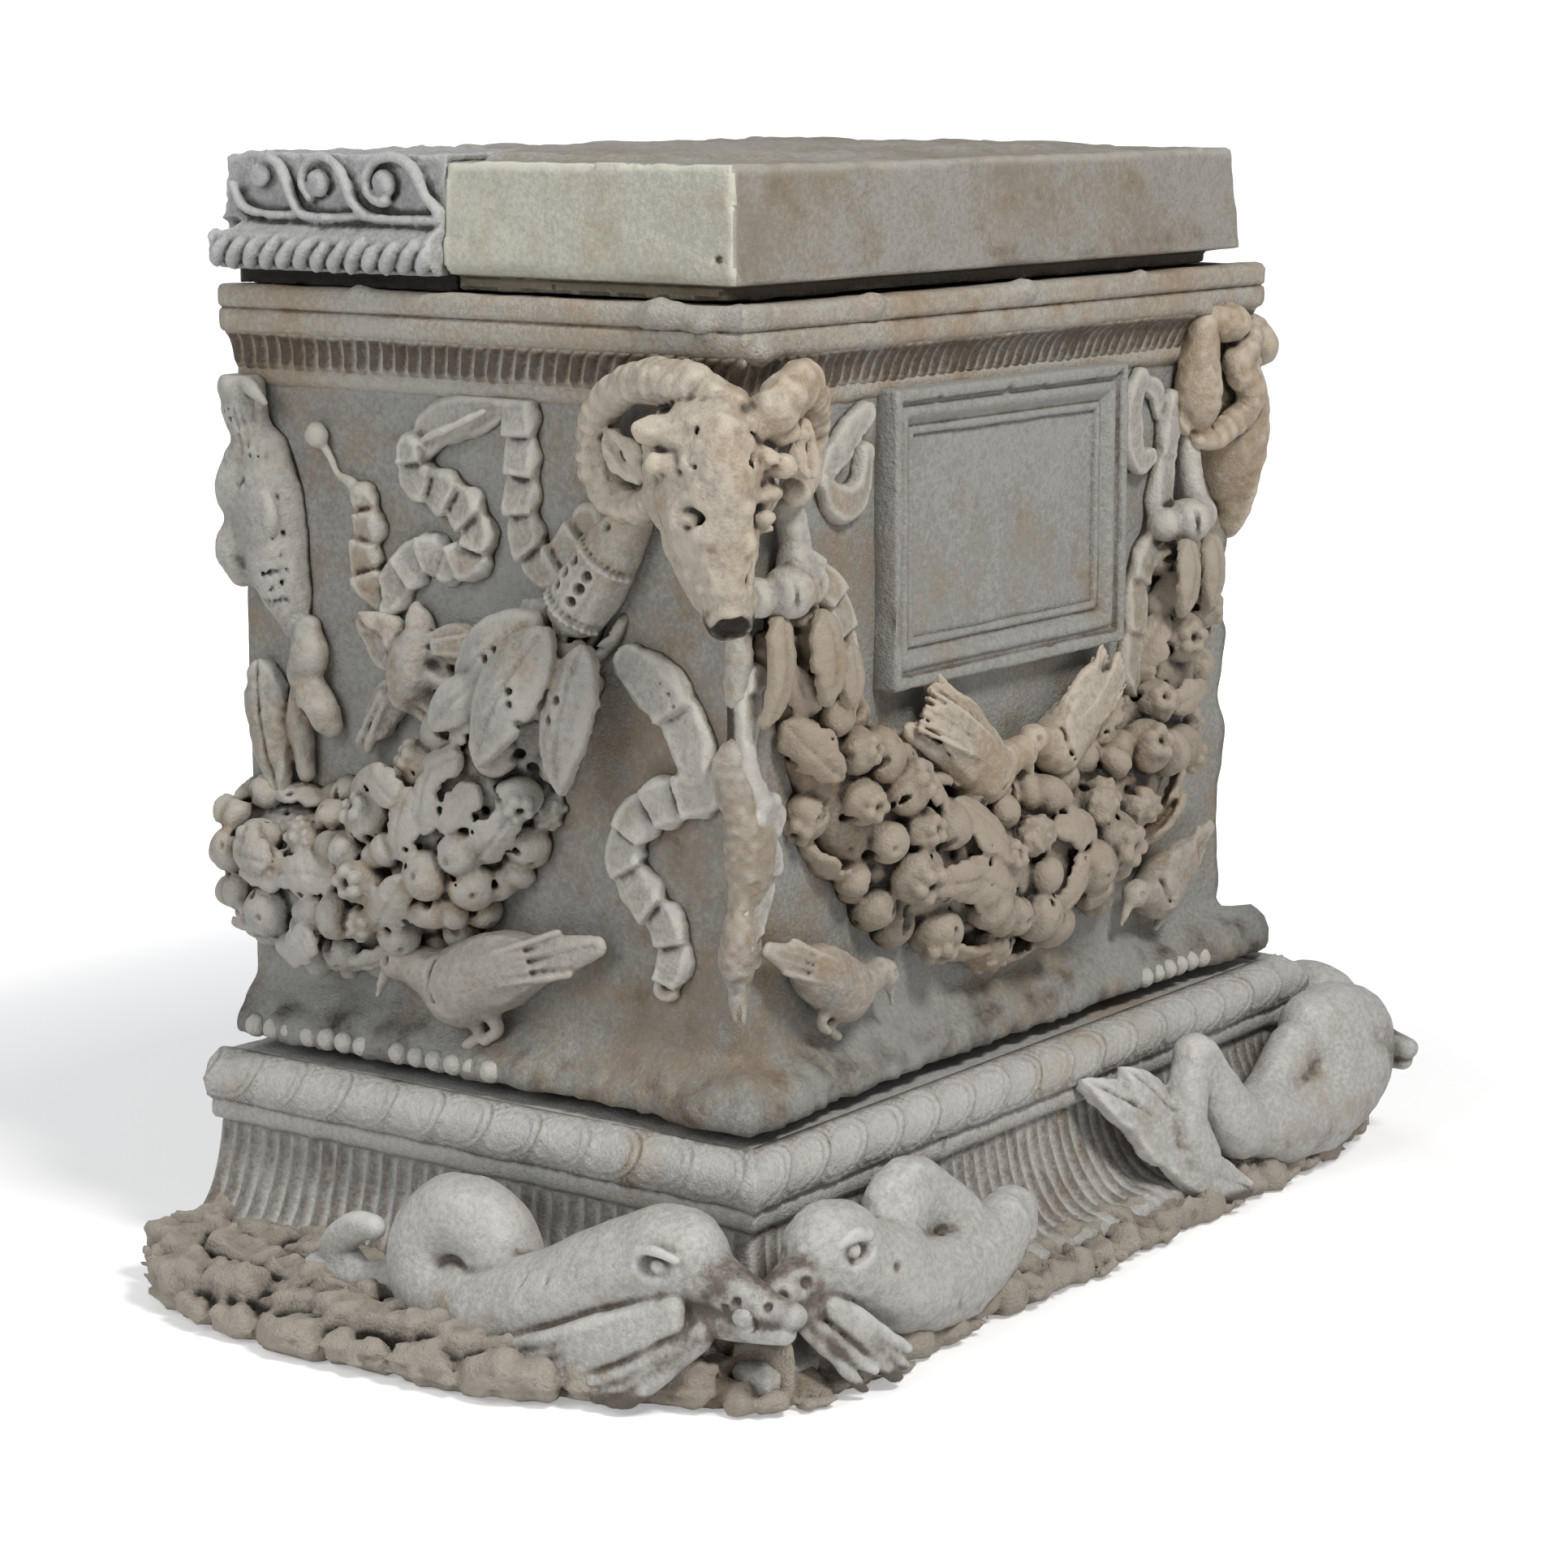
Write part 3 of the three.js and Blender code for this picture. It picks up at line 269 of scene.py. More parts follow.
def marble(name, pale, warm, crust_and_shade, dirt_and_shade=0.6, warmth=0.5, rough=0.6, seed=0.0, relief=1.0):
    """Weathered marble: pale stone, warm patina in patches, dark crust and painted shade in recesses,
    painted highlights on ridges, crystal grain.
    """
    material, tree, add = node_tree(name)
    place = add("TexCoord").outputs["Object"]
    shifted = add("Mapping", {"Vector": place, "Location": (seed, seed * 0.7, seed * 0.3)}).outputs[0]

    def noise(scale, detail, roughness):
        inputs = {"Vector": shifted, "Scale": scale, "Detail": detail, "Roughness": roughness}
        return add("TexNoise", inputs).outputs[0]

    broad, middle_size, small = noise(9.0, 6.0, 0.62), noise(42.0, 8.0, 0.68), noise(420.0, 5.0, 0.7)
    crystals = add("TexVoronoi", {"Vector": shifted, "Scale": 900.0}).outputs["Distance"]
    pits = add("TexVoronoi", {"Vector": shifted, "Scale": 260.0}).outputs["Distance"]
    hollow = add("Attribute", attribute_name="hollow").outputs["Fac"]

    def ramp(value, low, high):
        stops = {"Value": value, "From Min": low, "From Max": high}
        return add("MapRange", stops, interpolation_type="SMOOTHSTEP").outputs[0]

    def times(value, share):
        return math("MULTIPLY", value, share)

    def tinted(tone, share):
        return tuple(min(1.0, channel * share) for channel in tone)

    def math(kind, a, b):
        return add("Math", {0: a, 1: b}, operation=kind).outputs[0]

    def mixed(share, first, second):
        node = add("Mix", {"Factor": share}, data_type="RGBA")
        for socket, value in ((node.inputs[6], first), (node.inputs[7], second)):
            if isinstance(value, bpy.types.NodeSocket):
                tree.links.new(value, socket)
            else:
                socket.default_value = (*value, 1.0)
        return node.outputs[2]

    # Warm patina in broad patches, with rusty spots in it and fine grey speckles over all.
    patches = math("ADD", times(broad, 0.62), times(middle_size, 0.38))
    warm_share = times(ramp(patches, 0.62 - 0.3 * warmth, 0.72 - 0.18 * warmth), min(1.0, 0.55 + warmth))
    colour = mixed(warm_share, pale, warm)
    rust = ramp(math("ADD", middle_size, times(hollow, 0.12)), 0.6, 0.74)
    rust_colour = tuple(channel * share for channel, share in zip(warm, (0.85, 0.66, 0.45)))
    colour = mixed(times(rust, 0.55 * warmth), colour, rust_colour)
    colour = mixed(times(ramp(small, 0.34, 0.66), 0.34), colour, tinted(pale, 0.55))
    stain = ramp(math("ADD", times(broad, 0.45), times(small, 0.55)), 0.47, 0.56)
    colour = mixed(times(stain, 0.3 * dirt_and_shade), colour, tinted(pale, 0.45))
    # Crust and painted shade in the recesses, painted black shade where they are deepest, and paler ridges,
    # partly rubbed and partly a painted highlight.
    depth = math("ADD", hollow, times(math("SUBTRACT", middle_size, 0.5), 0.55))
    colour = mixed(times(ramp(depth, 0.42, 0.74), dirt_and_shade), colour, crust_and_shade)
    painted_deep_shade = ramp(math("ADD", times(depth, 0.6), times(small, 0.4)), 0.54, 0.7)
    colour = mixed(times(painted_deep_shade, 0.7 * dirt_and_shade), colour, tinted(crust_and_shade, 0.3))
    # Ridges are paled beyond the stone's tone: partly rubbing, partly a painted highlight.
    rubbed_ridge_and_highlight = ramp(math("SUBTRACT", 0.4, hollow), 0.02, 0.3)
    colour = mixed(times(rubbed_ridge_and_highlight, 0.6), colour, tinted(pale, 1.35))

    height = math("ADD", times(small, 0.55), times(crystals, 0.35))
    height = math("ADD", height, times(ramp(pits, 0.0, 0.32), 0.35))
    height = math("ADD", height, times(middle_size, 1.6))
    bump = add("Bump", {"Height": height, "Strength": 0.55 * relief, "Distance": 0.0016})
    roughness = math("ADD", times(small, 0.25), rough - 0.12)
    shader = add(
        "BsdfPrincipled", {"Base Color": colour, "Roughness": roughness, "Normal": bump.outputs[0]}
    )
    shader.inputs["Specular IOR Level"].default_value = 0.4
    shader.inputs["Subsurface Weight"].default_value = 0.0
    add("OutputMaterial", {"Surface": shader.outputs[0]})
    return material


# This dark tone serves as crust and as painted shade in recesses.
CRUST_AND_SHADE = (0.13, 0.095, 0.065)
plinth_marble = marble(
    "plinth_marble", (0.55, 0.54, 0.51), (0.48, 0.39, 0.285), CRUST_AND_SHADE, 0.55, 0.3, 0.52, 1.0
)


def gridded_block(name, low, high, spacing, material, body, wear=0.6, seed=0):
    """A closed block with gridded faces, softly worn inwards."""
    low, high = np.array(low, float), np.array(high, float)
    cells = np.maximum(1, np.round((high - low) / spacing).astype(int))
    index = {}
    points, quads = [], []

    def vertex(i, j, k):
        key = (i, j, k)
        if key not in index:
            index[key] = len(points)
            points.append(low + (high - low) * np.array(key) / cells)
        return index[key]

    for axis in range(3):
        u, v = (axis + 1) % 3, (axis + 2) % 3
        for end in (0, cells[axis]):
            for i in range(cells[u]):
                for j in range(cells[v]):
                    face = []
                    for di, dj in ((0, 0), (1, 0), (1, 1), (0, 1)):
                        key = [0, 0, 0]
                        key[axis], key[u], key[v] = end, i + di, j + dj
                        face.append(vertex(*key))
                    quads.append(face if end else face[::-1])
    points = np.array(points)
    inward = -np.sign(points - (low + high) / 2) * (
        (np.abs(points - low) < 1e-6) | (np.abs(points - high) < 1e-6)
    )
    points = points + inward * (wear * (0.5 + 0.5 * grain(points, 9.0, seed)))[:, None]
    return make_piece(name, points, quads, material, body)


plinth_block = gridded_block(
    "plinth_block", (-PLINTH_SIDE, -PLINTH_FRONT, 0), (PLINTH_SIDE, BACK, PLINTH_TOP), 8.0, plinth_marble,
    "plinth_body"
)
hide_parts("plinth")

# The plinth's roll, a half round with slanted leaves, and the thin fillet below it.
# They are cut from the same marble as the block, and their corners are worn round.
ROLL_RADIUS, LEAF_PITCH = 11.0, 26.0


def leaf_pattern(run, share, place):
    """Overlapping slanted leaves, each an oval with a double outline."""
    height = np.full(run.shape, -0.9)
    hollow = np.full(run.shape, 0.62)
    across = share * 8.6 / 6.0 * 2 - 1
    for shift in (1, 0, -1):
        slot = np.floor(run / LEAF_PITCH) + shift
        x = (run - (slot + 0.5) * LEAF_PITCH + 7.0 * across) / (LEAF_PITCH * 0.68)
        r = np.sqrt(x**2 + (across * 0.93) ** 2)
        inside = r < 1
        leaf = 0.9 * np.sqrt(np.clip(1 - r**2, 0, 1)) - 0.4
        for ring, width in ((0.9, 0.045), (0.66, 0.04)):
            leaf -= 0.85 * np.exp(-(((r - ring) / width) ** 2))
        height = np.where(inside, leaf, height)
        # The outline grooves count as hollow, so the marble paints crust and shade in them.
        line = np.exp(-(((r - 0.9) / 0.06) ** 2)) + 0.7 * np.exp(-(((r - 0.66) / 0.05) ** 2))
        hollow = np.where(inside, 0.3 + 0.34 * line, hollow)
    held = share < 0.69
    wear = 0.7 * grain(place, 14.0, 3) + 0.3 * grain(place, 4.0, 4)
    height = np.where(held, height, 0.0) - 0.7 + np.minimum(wear, 0.3)
    return np.where(share > 0.95, 0.0, height), hollow


angles = np.linspace(pi / 2, -pi / 2, 30)
roll_profile = [(ROLL_RADIUS * cos(a), PLINTH_TOP - ROLL_RADIUS + ROLL_RADIUS * sin(a)) for a in angles]
moulding(
    "plinth_roll", roll_profile, PLINTH_SIDE, PLINTH_FRONT, 0.9, plinth_marble, "plinth_body", leaf_pattern
)
fillet_profile = [(6.5, 70.0), (7.2, 67.0), (7.2, 63.5), (5.5, 61.5), (2.0, 60.5)]


def worn_edge(run, share, place):
    """Shallow unevenness of a plain moulding that has been handled and knocked."""
    height = -0.5 + 0.45 * grain(place, 11.0, 5) + 0.25 * grain(place, 3.0, 6)
    chips = np.clip(grain(place, 16.0, 8) - 0.62, 0, 1) * 9.0
    # The knocks count as hollow, so the marble paints crust and shade in them.
    return np.minimum(height, 0.1) - chips, 0.4 + 0.4 * chips.clip(0, 1)


moulding(
    "plinth_fillet", fillet_profile, PLINTH_SIDE, PLINTH_FRONT, 1.6, plinth_marble, "plinth_body", worn_edge
)

# The hollow moulding of the plinth. Upright flutes run down it and open out on to the rocky foot,
# and thin ridges of marble are left between them.
FLUTE_PITCH, FLUTE_DEPTH = 8.8, 3.0


def flutes(run, share, place):
    """Round-bottomed flutes with sharp ridges, fading out at the foot."""
    x = (run / FLUTE_PITCH) % 1.0 * 2 - 1
    held = np.clip((0.93 - share) / 0.12, 0, 1) * np.clip(share / 0.03, 0, 1)
    dip = np.sqrt(np.clip(1 - x**2, 0, 1))
    wear = 0.35 * grain(place, 20.0, 9) + 0.2 * grain(place, 3.5, 10)
    # The flute bottoms count as hollow, so the marble paints crust and shade in them.
    return -FLUTE_DEPTH * dip * held * (0.85 + wear) + 0.6 * wear, 0.25 + 0.45 * dip * held


angles = np.linspace(0, pi / 2, 20)
hollow_profile = [(0.5 + 27.5 * (1 - cos(a)) ** 0.9, 62.0 - 46.0 * sin(a)) for a in angles]
hollow_profile += [(34.0, 14.0), (35.0, 6.0)]
moulding(
    "plinth_fluted_hollow", hollow_profile, PLINTH_SIDE, PLINTH_FRONT, 1.1, plinth_marble, "plinth_body",
    flutes
)


# Four sea creatures lie on the rocks, one on each side and two on the front. At the near corner two
# snouts meet.
# They stand almost free of the plinth, so their bodies are smooth and nearly fully round.
def smooth_line(stops, spacing):
    """Rows about this far apart on a smooth line through the stops; every column is carried along."""
    stops = np.asarray(stops, float)
    ends = np.vstack([2 * stops[0] - stops[1], stops, 2 * stops[-1] - stops[-2]])
    rows = []
    for i in range(1, len(ends) - 2):
        p0, p1, p2, p3 = ends[i - 1 : i + 3]
        count = max(1, int(np.ceil(np.linalg.norm((p2 - p1)[:3]) / spacing)))
        t = np.linspace(0, 1, count, endpoint=False)[:, None]
        rows.append(
            0.5
            * (
                2 * p1 + (p2 - p0) * t + (2 * p0 - 5 * p1 + 4 * p2 - p3) * t**2
                + (3 * p1 - p0 - 3 * p2 + p3) * t**3
            )
        )
    return np.vstack([*rows, stops[-1:]])


def blurred(values, reach):
    """Values averaged over a cube of this many cells to each side."""
    for axis in range(3):
        pad = [(0, 0)] * 3
        pad[axis] = (reach + 1, reach)
        total = np.cumsum(np.pad(values, pad, mode="edge"), axis, dtype=np.float32)
        low = [slice(None)] * 3
        high = [slice(None)] * 3
        low[axis], high[axis] = slice(0, -2 * reach - 1), slice(2 * reach + 1, None)
        values = (total[tuple(high)] - total[tuple(low)]) / (2 * reach + 1)
    return values


class Carving:
    """A block of space in millimetres. Shapes are joined to it or cut from it, then it is skinned."""

    def __init__(self, low, high, step):
        self.low = np.array(low, float)
        self.step = step * 1.0
        self.shape = tuple(int(np.ceil((b - a) / self.step)) + 1 for a, b in zip(low, high))
        self.field = np.full(self.shape, 9.0, np.float32)

    def window(self, low, high):
        """The part of the block between two corners: its slices and the places of its points."""
        first = np.floor((np.asarray(low) - self.low) / self.step).astype(int)
        last = np.ceil((np.asarray(high) - self.low) / self.step).astype(int) + 1
        first = np.clip(first, 0, self.shape)
        last = np.maximum(np.clip(last, 0, self.shape), first)
        axes = [self.low[i] + self.step * np.arange(first[i], last[i]) for i in range(3)]
        slices = tuple(slice(a, b) for a, b in zip(first, last))
        return slices, np.stack(np.meshgrid(*axes, indexing="ij"), -1).astype(np.float32)

    def merge(self, slices, distance, blend=0.0, cut=False):
        """Joins a distance field to the block, or cuts it away, with a rounded meeting line."""
        old = self.field[slices]
        if cut:
            old, distance = -old, distance
        share = np.clip(0.5 + 0.5 * (old - distance) / max(blend, 1e-3), 0, 1)
        new = old * (1 - share) + distance * share - blend * share * (1 - share)
        self.field[slices] = -new if cut else new

    def lump(self, centre, radii, axes=None, blend=2.0, cut=False):
        """An ellipsoid. axes: its three directions, one a row."""
        centre, radii = np.array(centre, float), np.array(radii, float) * np.ones(3)
        reach = radii.max() + blend + 2 * self.step
        slices, points = self.window(centre - reach, centre + reach)
        local = points - centre
        if axes is not None:
            local = local @ np.asarray(axes, float).T
        scaled = np.linalg.norm(local / radii, axis=-1)
        slope = np.maximum(np.linalg.norm(local / radii**2, axis=-1), 1e-6)
        self.merge(slices, scaled * (scaled - 1) / slope, blend, cut)

    def tube(self, stops, blend=2.0, cut=False, spacing=2.0, swell=None, flat=None):
        """A round bar through stops (x, y, z, radius). swell(walked) scales its radius along it, and
        flat = (axis, factor) presses it flat along an axis."""
        line = smooth_line(stops, spacing)
        squeeze = np.ones(3)
        if flat:
            squeeze[flat[0]] = 1 / flat[1]
        walked = np.concatenate([[0], np.cumsum(np.linalg.norm(np.diff(line[:, :3], axis=0), axis=1))])
        radii = line[:, 3] * (swell(walked) if swell else 1)
        margin = radii.max() + blend + 2 * self.step
        slices, points = self.window(line[:, :3].min(0) - margin, line[:, :3].max(0) + margin)
        distance = np.full(points.shape[:3], 9.0, np.float32)
        base = np.array([part.start for part in slices])
        for a, b, ra, rb in zip(line[:-1, :3], line[1:, :3], radii[:-1], radii[1:]):
            reach = max(ra, rb) + blend + 2 * self.step
            inner, _ = self.window(np.minimum(a, b) - reach, np.maximum(a, b) + reach)
            inner = tuple(slice(part.start - o, part.stop - o) for part, o in zip(inner, base))
            local = (points[inner] - a) * squeeze
            along = (b - a) * squeeze
            share = np.clip(local @ along / max(along @ along, 1e-9), 0, 1)
            gap = np.linalg.norm(local - share[..., None] * along, axis=-1) - (ra + (rb - ra) * share)
            distance[inner] = np.minimum(distance[inner], gap)
        self.merge(slices, distance, blend, cut)

    def keep_inside(self, low, high):
        """Cuts off everything outside a box."""
        for axis in range(3):
            line = self.low[axis] + self.step * np.arange(self.shape[axis])
            over = np.maximum(low[axis] - line, line - high[axis])
            self.field = np.maximum(self.field, over.reshape([-1 if i == axis else 1 for i in range(3)]))

    def weather(self, *layers):
        """Wears the surface in layers of bumps: about this size, this much up and down, seed."""
        for size, amount, seed in layers:
            near = np.abs(self.field) < amount + 2.5 * self.step
            places = self.low + self.step * np.argwhere(near)
            self.field[near] += (amount * grain(places, size, seed)).astype(np.float32)

    def skin(self, name, material, body, place=lambda points: points, ground=None, reach=4.0, stain=None):
        """Turns the block into a piece. place moves points into the part's frame, ground(points) is true
        inside the stone around it, to tell how hollow each spot is, and stain(points) adds to that."""
        field = np.clip(self.field, -3 * self.step, 3 * self.step)
        for axis in range(3):
            edge = [slice(None)] * 3
            for end in (0, -1):
                edge[axis] = end
                field[tuple(edge)] = np.maximum(field[tuple(edge)], 0.5 * self.step)
        grid = openvdb.FloatGrid(3.0 * self.step)
        grid.copyFromArray(field)
        points, _, quads = grid.convertToPolygons(0.0, 0.0)
        # How hollow each spot is, from the share of stone around it: the marble paints crust and shade in
        # hollow spots and highlights on open ones from this.
        solid = np.clip(0.5 - self.field / self.step, 0, 1)
        if ground is not None:
            axes = [self.low[i] + self.step * np.arange(n) for i, n in enumerate(self.shape)]
            solid = np.maximum(solid, ground(*np.meshgrid(*axes, indexing="ij", sparse=True)))
        around = blurred(solid.astype(np.float32), max(1, int(round(reach / self.step))))
        cell = np.clip(np.floor(points).astype(int), 0, np.array(self.shape) - 2)
        part = points - cell
        density = np.zeros(len(points))
        for corner in np.ndindex(2, 2, 2):
            density += np.prod(np.where(corner, part, 1 - part), axis=1) * around[tuple((cell + corner).T)]
        points = self.low + self.step * points
        hollow = np.clip(0.4 + (density - 0.5) * 1.9 + (stain(points) if stain else 0.0), 0, 1)
        points = place(points)
        quads = quads[:, ::-1]
        if volume(points, quads) < 0:
            quads = quads[:, ::-1]
        return make_piece(name, points, quads, material, body, hollow)


creature_marble = marble(
    "creature_marble", (0.55, 0.54, 0.51), (0.42, 0.325, 0.225), CRUST_AND_SHADE, 0.75, 0.28, 0.42, 2.0, 0.7
)


def blade(clay, root, tip, normal, width, thick=2.2, curl=0.12, lobes=0, blend=1.0, veins=0.5):
    """A leaf from root to tip whose upper face looks along normal: midrib, veins and lobed edge."""
    root, tip, normal = (np.array(v, float) for v in (root, tip, normal))
    length = np.linalg.norm(tip - root)
    ahead = (tip - root) / length
    across = np.cross(normal, ahead)
    across /= np.linalg.norm(across)
    upward = np.cross(ahead, across)
    margin = width + thick + blend + 3
    slices, points = clay.window(np.minimum(root, tip) - margin, np.maximum(root, tip) + margin)
    local = points - root
    share = np.clip(local @ ahead / length, -0.2, 1.2)
    aside, rise = local @ across, local @ upward
    spread = width * np.sin(pi * np.clip(share, 0, 1) ** 0.8) ** 0.75
    if lobes:
        spread = spread * (0.82 + 0.26 * np.abs(np.sin(pi * lobes * share)))
    mid = curl * length * np.sin(pi * np.clip(share, 0, 1)) - 0.25 * aside**2 / width
    vein = (
        veins * np.cos(2 * pi * (share * 7 - np.abs(aside) / width * 1.1)) * (np.abs(aside) > 0.12 * width)
    )
    rib = 1.0 * np.exp(-((aside / 0.9) ** 2)) * thick * 0.5
    body = np.abs(rise - mid) - thick * (1 - 0.5 * (np.abs(aside) / width) ** 2) - 0.35 * vein + rib
    ends = (np.abs(share - 0.5) - 0.5) * length
    clay.merge(slices, np.maximum(np.maximum(body, np.abs(aside) - spread), ends) * 0.7, blend)


def ribbed_fin(clay, stops, spread, count=4):
    """A long flat fin: ridges side by side that part slowly towards their tips."""
    for i in range(count):
        lean = i / (count - 1) * 2 - 1
        line = [
            (a + lean * spread * s * 0.3, o, v + lean * spread * (0.35 + 0.65 * s), r)
            for s, (a, o, v, r) in zip((0, 0.35, 0.7, 1), stops)
        ]
        clay.tube(line, 1.4, spacing=1.5)


def coiled_creature():
    """The creature of a side: a thick coil with a dimple, a rising neck, a domed head and ribbed fins.
    Its own axes: along from the front corner, out of the wall, up."""
    clay = Carving((-62, 8, -2), (206, 84, 94), 1.0)
    turn = [
        (108 + 17.5 * cos(a), 49 - 6 * i / 17, 40 + 17.0 * sin(a), 19.6 - 3.6 * i / 17)
        for i, a in enumerate(np.linspace(-1.9, 3.5, 18))
    ]
    clay.tube(turn, 1.0)
    clay.lump((108, 43, 40), (17, 12, 17), blend=2.0)
    clay.lump((107, 66, 42), (5.5, 5, 5.5), blend=5.0, cut=True)
    body = [
        (124, 46, 24, 17), (104, 51, 20, 19.5), (80, 53, 24, 20.5), (56, 52, 35, 20), (32, 49, 48, 20),
        (10, 46, 57, 20)
    ]
    clay.tube(body, 3.0)
    clay.lump((3, 45, 60), (23, 20, 19.5), blend=3.0)
    clay.tube(
        [(-2, 45, 57, 16), (-16, 44, 53, 12.5), (-30, 43, 49, 9.5), (-42, 42, 46, 7.5), (-50, 41, 45, 6.0)],
        3.0, flat=(2, 0.85)
    )
    clay.tube([(-48, 43, 38, 4.5), (-32, 45, 38, 6.5), (-12, 46, 40, 8.5)], 2.0)
    clay.tube(
        [(-52, 50, 42.5, 1.5), (-34, 53, 43, 1.7), (-16, 57, 44.5, 1.4), (-6, 61, 45, 0.8)], 1.2, True
    )
    clay.lump((-2, 65, 62), (7.5, 3.4, 5), blend=3.0, cut=True)
    clay.lump((-2.5, 62.3, 61.2), (3.8, 2.4, 3.0), blend=0.9)
    clay.tube([(-11, 62, 65, 1.6), (-3, 64.5, 68, 2.3), (6, 63.5, 66, 1.6)], 2.0)
    for a, o, v in ((-32, 52, 50), (-27, 53, 47), (-20, 56, 41), (-38, 50, 41), (-44, 48, 49)):
        clay.lump((a, o, v), (1.6, 2.4, 1.6), blend=1.0, cut=True)
    for along, level, size in ((30, 55, 12), (44, 48, 12), (57, 41, 12)):
        arc = [
            (along + size * 0.3 * cos(a), 69.5 - 4 * abs(a), level + size * sin(a), 0.9)
            for a in np.linspace(-1.1, 1.1, 6)
        ]
        clay.tube(arc, 1.4, True)
    ribbed_fin(clay, [(-6, 58, 42, 5.0), (16, 66, 31, 4.4), (40, 70, 19, 4.0), (64, 70, 9, 3.4)], 9.5)
    ribbed_fin(clay, [(-16, 52, 34, 4.0), (-2, 60, 22, 3.8), (10, 66, 12, 3.4), (22, 70, 6, 2.6)], 6.5, 3)
    clay.tube([(120, 34, 24, 13), (142, 38, 19, 12), (162, 42, 17, 10), (176, 44, 21, 7.5)], 2.0)
    clay.tube(
        [(168, 44, 20, 7.5), (180, 44, 31, 8.5), (168, 46, 42, 7), (158, 46, 44, 5)], 1.5, flat=(1, 0.75)
    )
    clay.tube([(172, 45, 18, 7), (188, 46, 19, 8.5), (200, 45, 12, 5)], 1.5, flat=(1, 0.75))
    clay.weather((16.0, 0.9, 11), (4.5, 0.3, 12))
    clay.keep_inside((-60, 8, 3), (300, 82, 90))
    return clay


def humped_creature():
    """The creature of the front's near end: a worn head, a low S of thick body, a hump and a tail end."""
    clay = Carving((-62, 8, -2), (182, 76, 90), 1.0)
    clay.lump((6, 42, 57), (24, 21, 20), blend=3.0)
    clay.tube(
        [
            (6, 42, 54, 19), (28, 45, 44, 20), (54, 47, 31, 20), (84, 46, 25, 19), (110, 44, 28, 17.5),
            (128, 42, 36, 14)
        ],
        3.0
    )
    clay.tube(
        [(54, 36, 44, 15), (62, 33, 58, 14), (76, 31, 62, 14), (90, 33, 54, 14), (102, 38, 40, 15)], 5.0
    )
    clay.lump((70, 30, 56), (22, 14, 20), blend=6.0)
    clay.tube([(122, 38, 34, 12), (138, 38, 40, 10.5), (147, 38, 36, 9), (150, 38, 28, 7)], 2.0)
    clay.tube(
        [(0, 42, 54, 15), (-15, 42, 50, 12), (-28, 41, 47, 9.5), (-40, 40, 45, 7), (-48, 40, 44, 5.5)], 3.0,
        flat=(2, 0.85)
    )
    clay.tube([(-46, 42, 37, 4), (-28, 44, 38, 6.5), (-6, 45, 40, 8.5)], 2.0)
    clay.tube([(-50, 48, 41.5, 1.4), (-30, 52, 42.5, 1.6), (-12, 56, 43.5, 1.2)], 1.4, True)
    clay.lump((2, 61, 60), (7.5, 3.2, 4.6), blend=4.0, cut=True)
    clay.lump((1.5, 59, 59.5), (3.6, 2.2, 2.8), blend=1.0)
    clay.tube([(-7, 58, 64, 1.6), (1, 60.5, 67, 2.3), (10, 61, 65, 1.8)], 2.5)
    for a, o, v, r in ((-22, 51, 52, 2.2), (-33, 48, 48, 1.8), (26, 64, 48, 2.4)):
        clay.lump((a, o, v), (r, 1.8, r * 0.8), blend=2.5, cut=True)
    ribbed_fin(clay, [(-6, 52, 38, 4.0), (6, 60, 27, 4.0), (16, 66, 16, 3.6), (26, 68, 8, 2.8)], 6.5, 3)
    ribbed_fin(clay, [(-18, 48, 34, 3.4), (-8, 56, 22, 3.2), (0, 62, 12, 2.8), (6, 66, 6, 2.2)], 5.0, 2)
    clay.weather((13.0, 1.1, 13), (4.0, 0.45, 14))
    clay.keep_inside((-60, 8, 3), (300, 74, 88))
    return clay


def great_coil():
    """The creature of the front's far end: a great loop at the corner, a sharp hump and a spread fin."""
    clay = Carving((-56, 4, -2), (204, 76, 92), 1.0)
    loop = [
        (72, 42, 30, 17), (50, 44, 27, 20), (22, 45, 30, 23), (-4, 44, 40, 24.5), (-14, 42, 54, 23),
        (0, 40, 63, 20.5), (22, 38, 65, 18)
    ]
    clay.tube(loop, 4.0)
    clay.lump((8, 40, 48), (30, 26, 28), blend=6.0)
    clay.tube(
        [
            (40, 37, 58, 13), (62, 38, 42, 13), (84, 40, 32, 15), (102, 41, 40, 15), (116, 38, 60, 11.5),
            (127, 35, 73, 10)
        ],
        4.0
    )
    clay.tube([(127, 35, 73, 10), (134, 36, 60, 11), (138, 38, 44, 11), (130, 42, 26, 12)], 3.0)
    clay.tube([(108, 46, 58, 2.4), (122, 42, 76, 2.4), (131, 42, 66, 2.4)], 3.0)
    for root, tip, width in (
        ((108, 46, 10), (196, 13, 74), 15), ((120, 44, 18), (172, 20, 76), 13),
        ((104, 50, 6), (176, 24, 50), 12), ((100, 52, 6), (150, 38, 24), 10)
    ):
        blade(clay, root, tip, (0.1, 1.0, 0.55), width, 4.0, 0.05, 3, 3.0)
    clay.weather((18.0, 1.0, 15), (4.5, 0.35, 16))
    clay.keep_inside((-54, 4, 3), (300, 74, 90))
    return clay


def on_plinth(side, hand):
    """Moves a creature's own axes to one wall of the plinth. hand is -1 on the left and 1 on the right."""

    def place(points):
        along, out, up = points[:, 0], points[:, 1], points[:, 2]
        if side:
            return np.stack([hand * (PLINTH_SIDE + out), along - PLINTH_FRONT, up], 1)
        return np.stack([hand * (PLINTH_SIDE - along), -PLINTH_FRONT - 0.84 * out, up], 1)

    return place


def plinth_stone(along, out, up):
    """True inside the rocks and the wall behind a creature."""
    return (out < 4) | (up < 7)


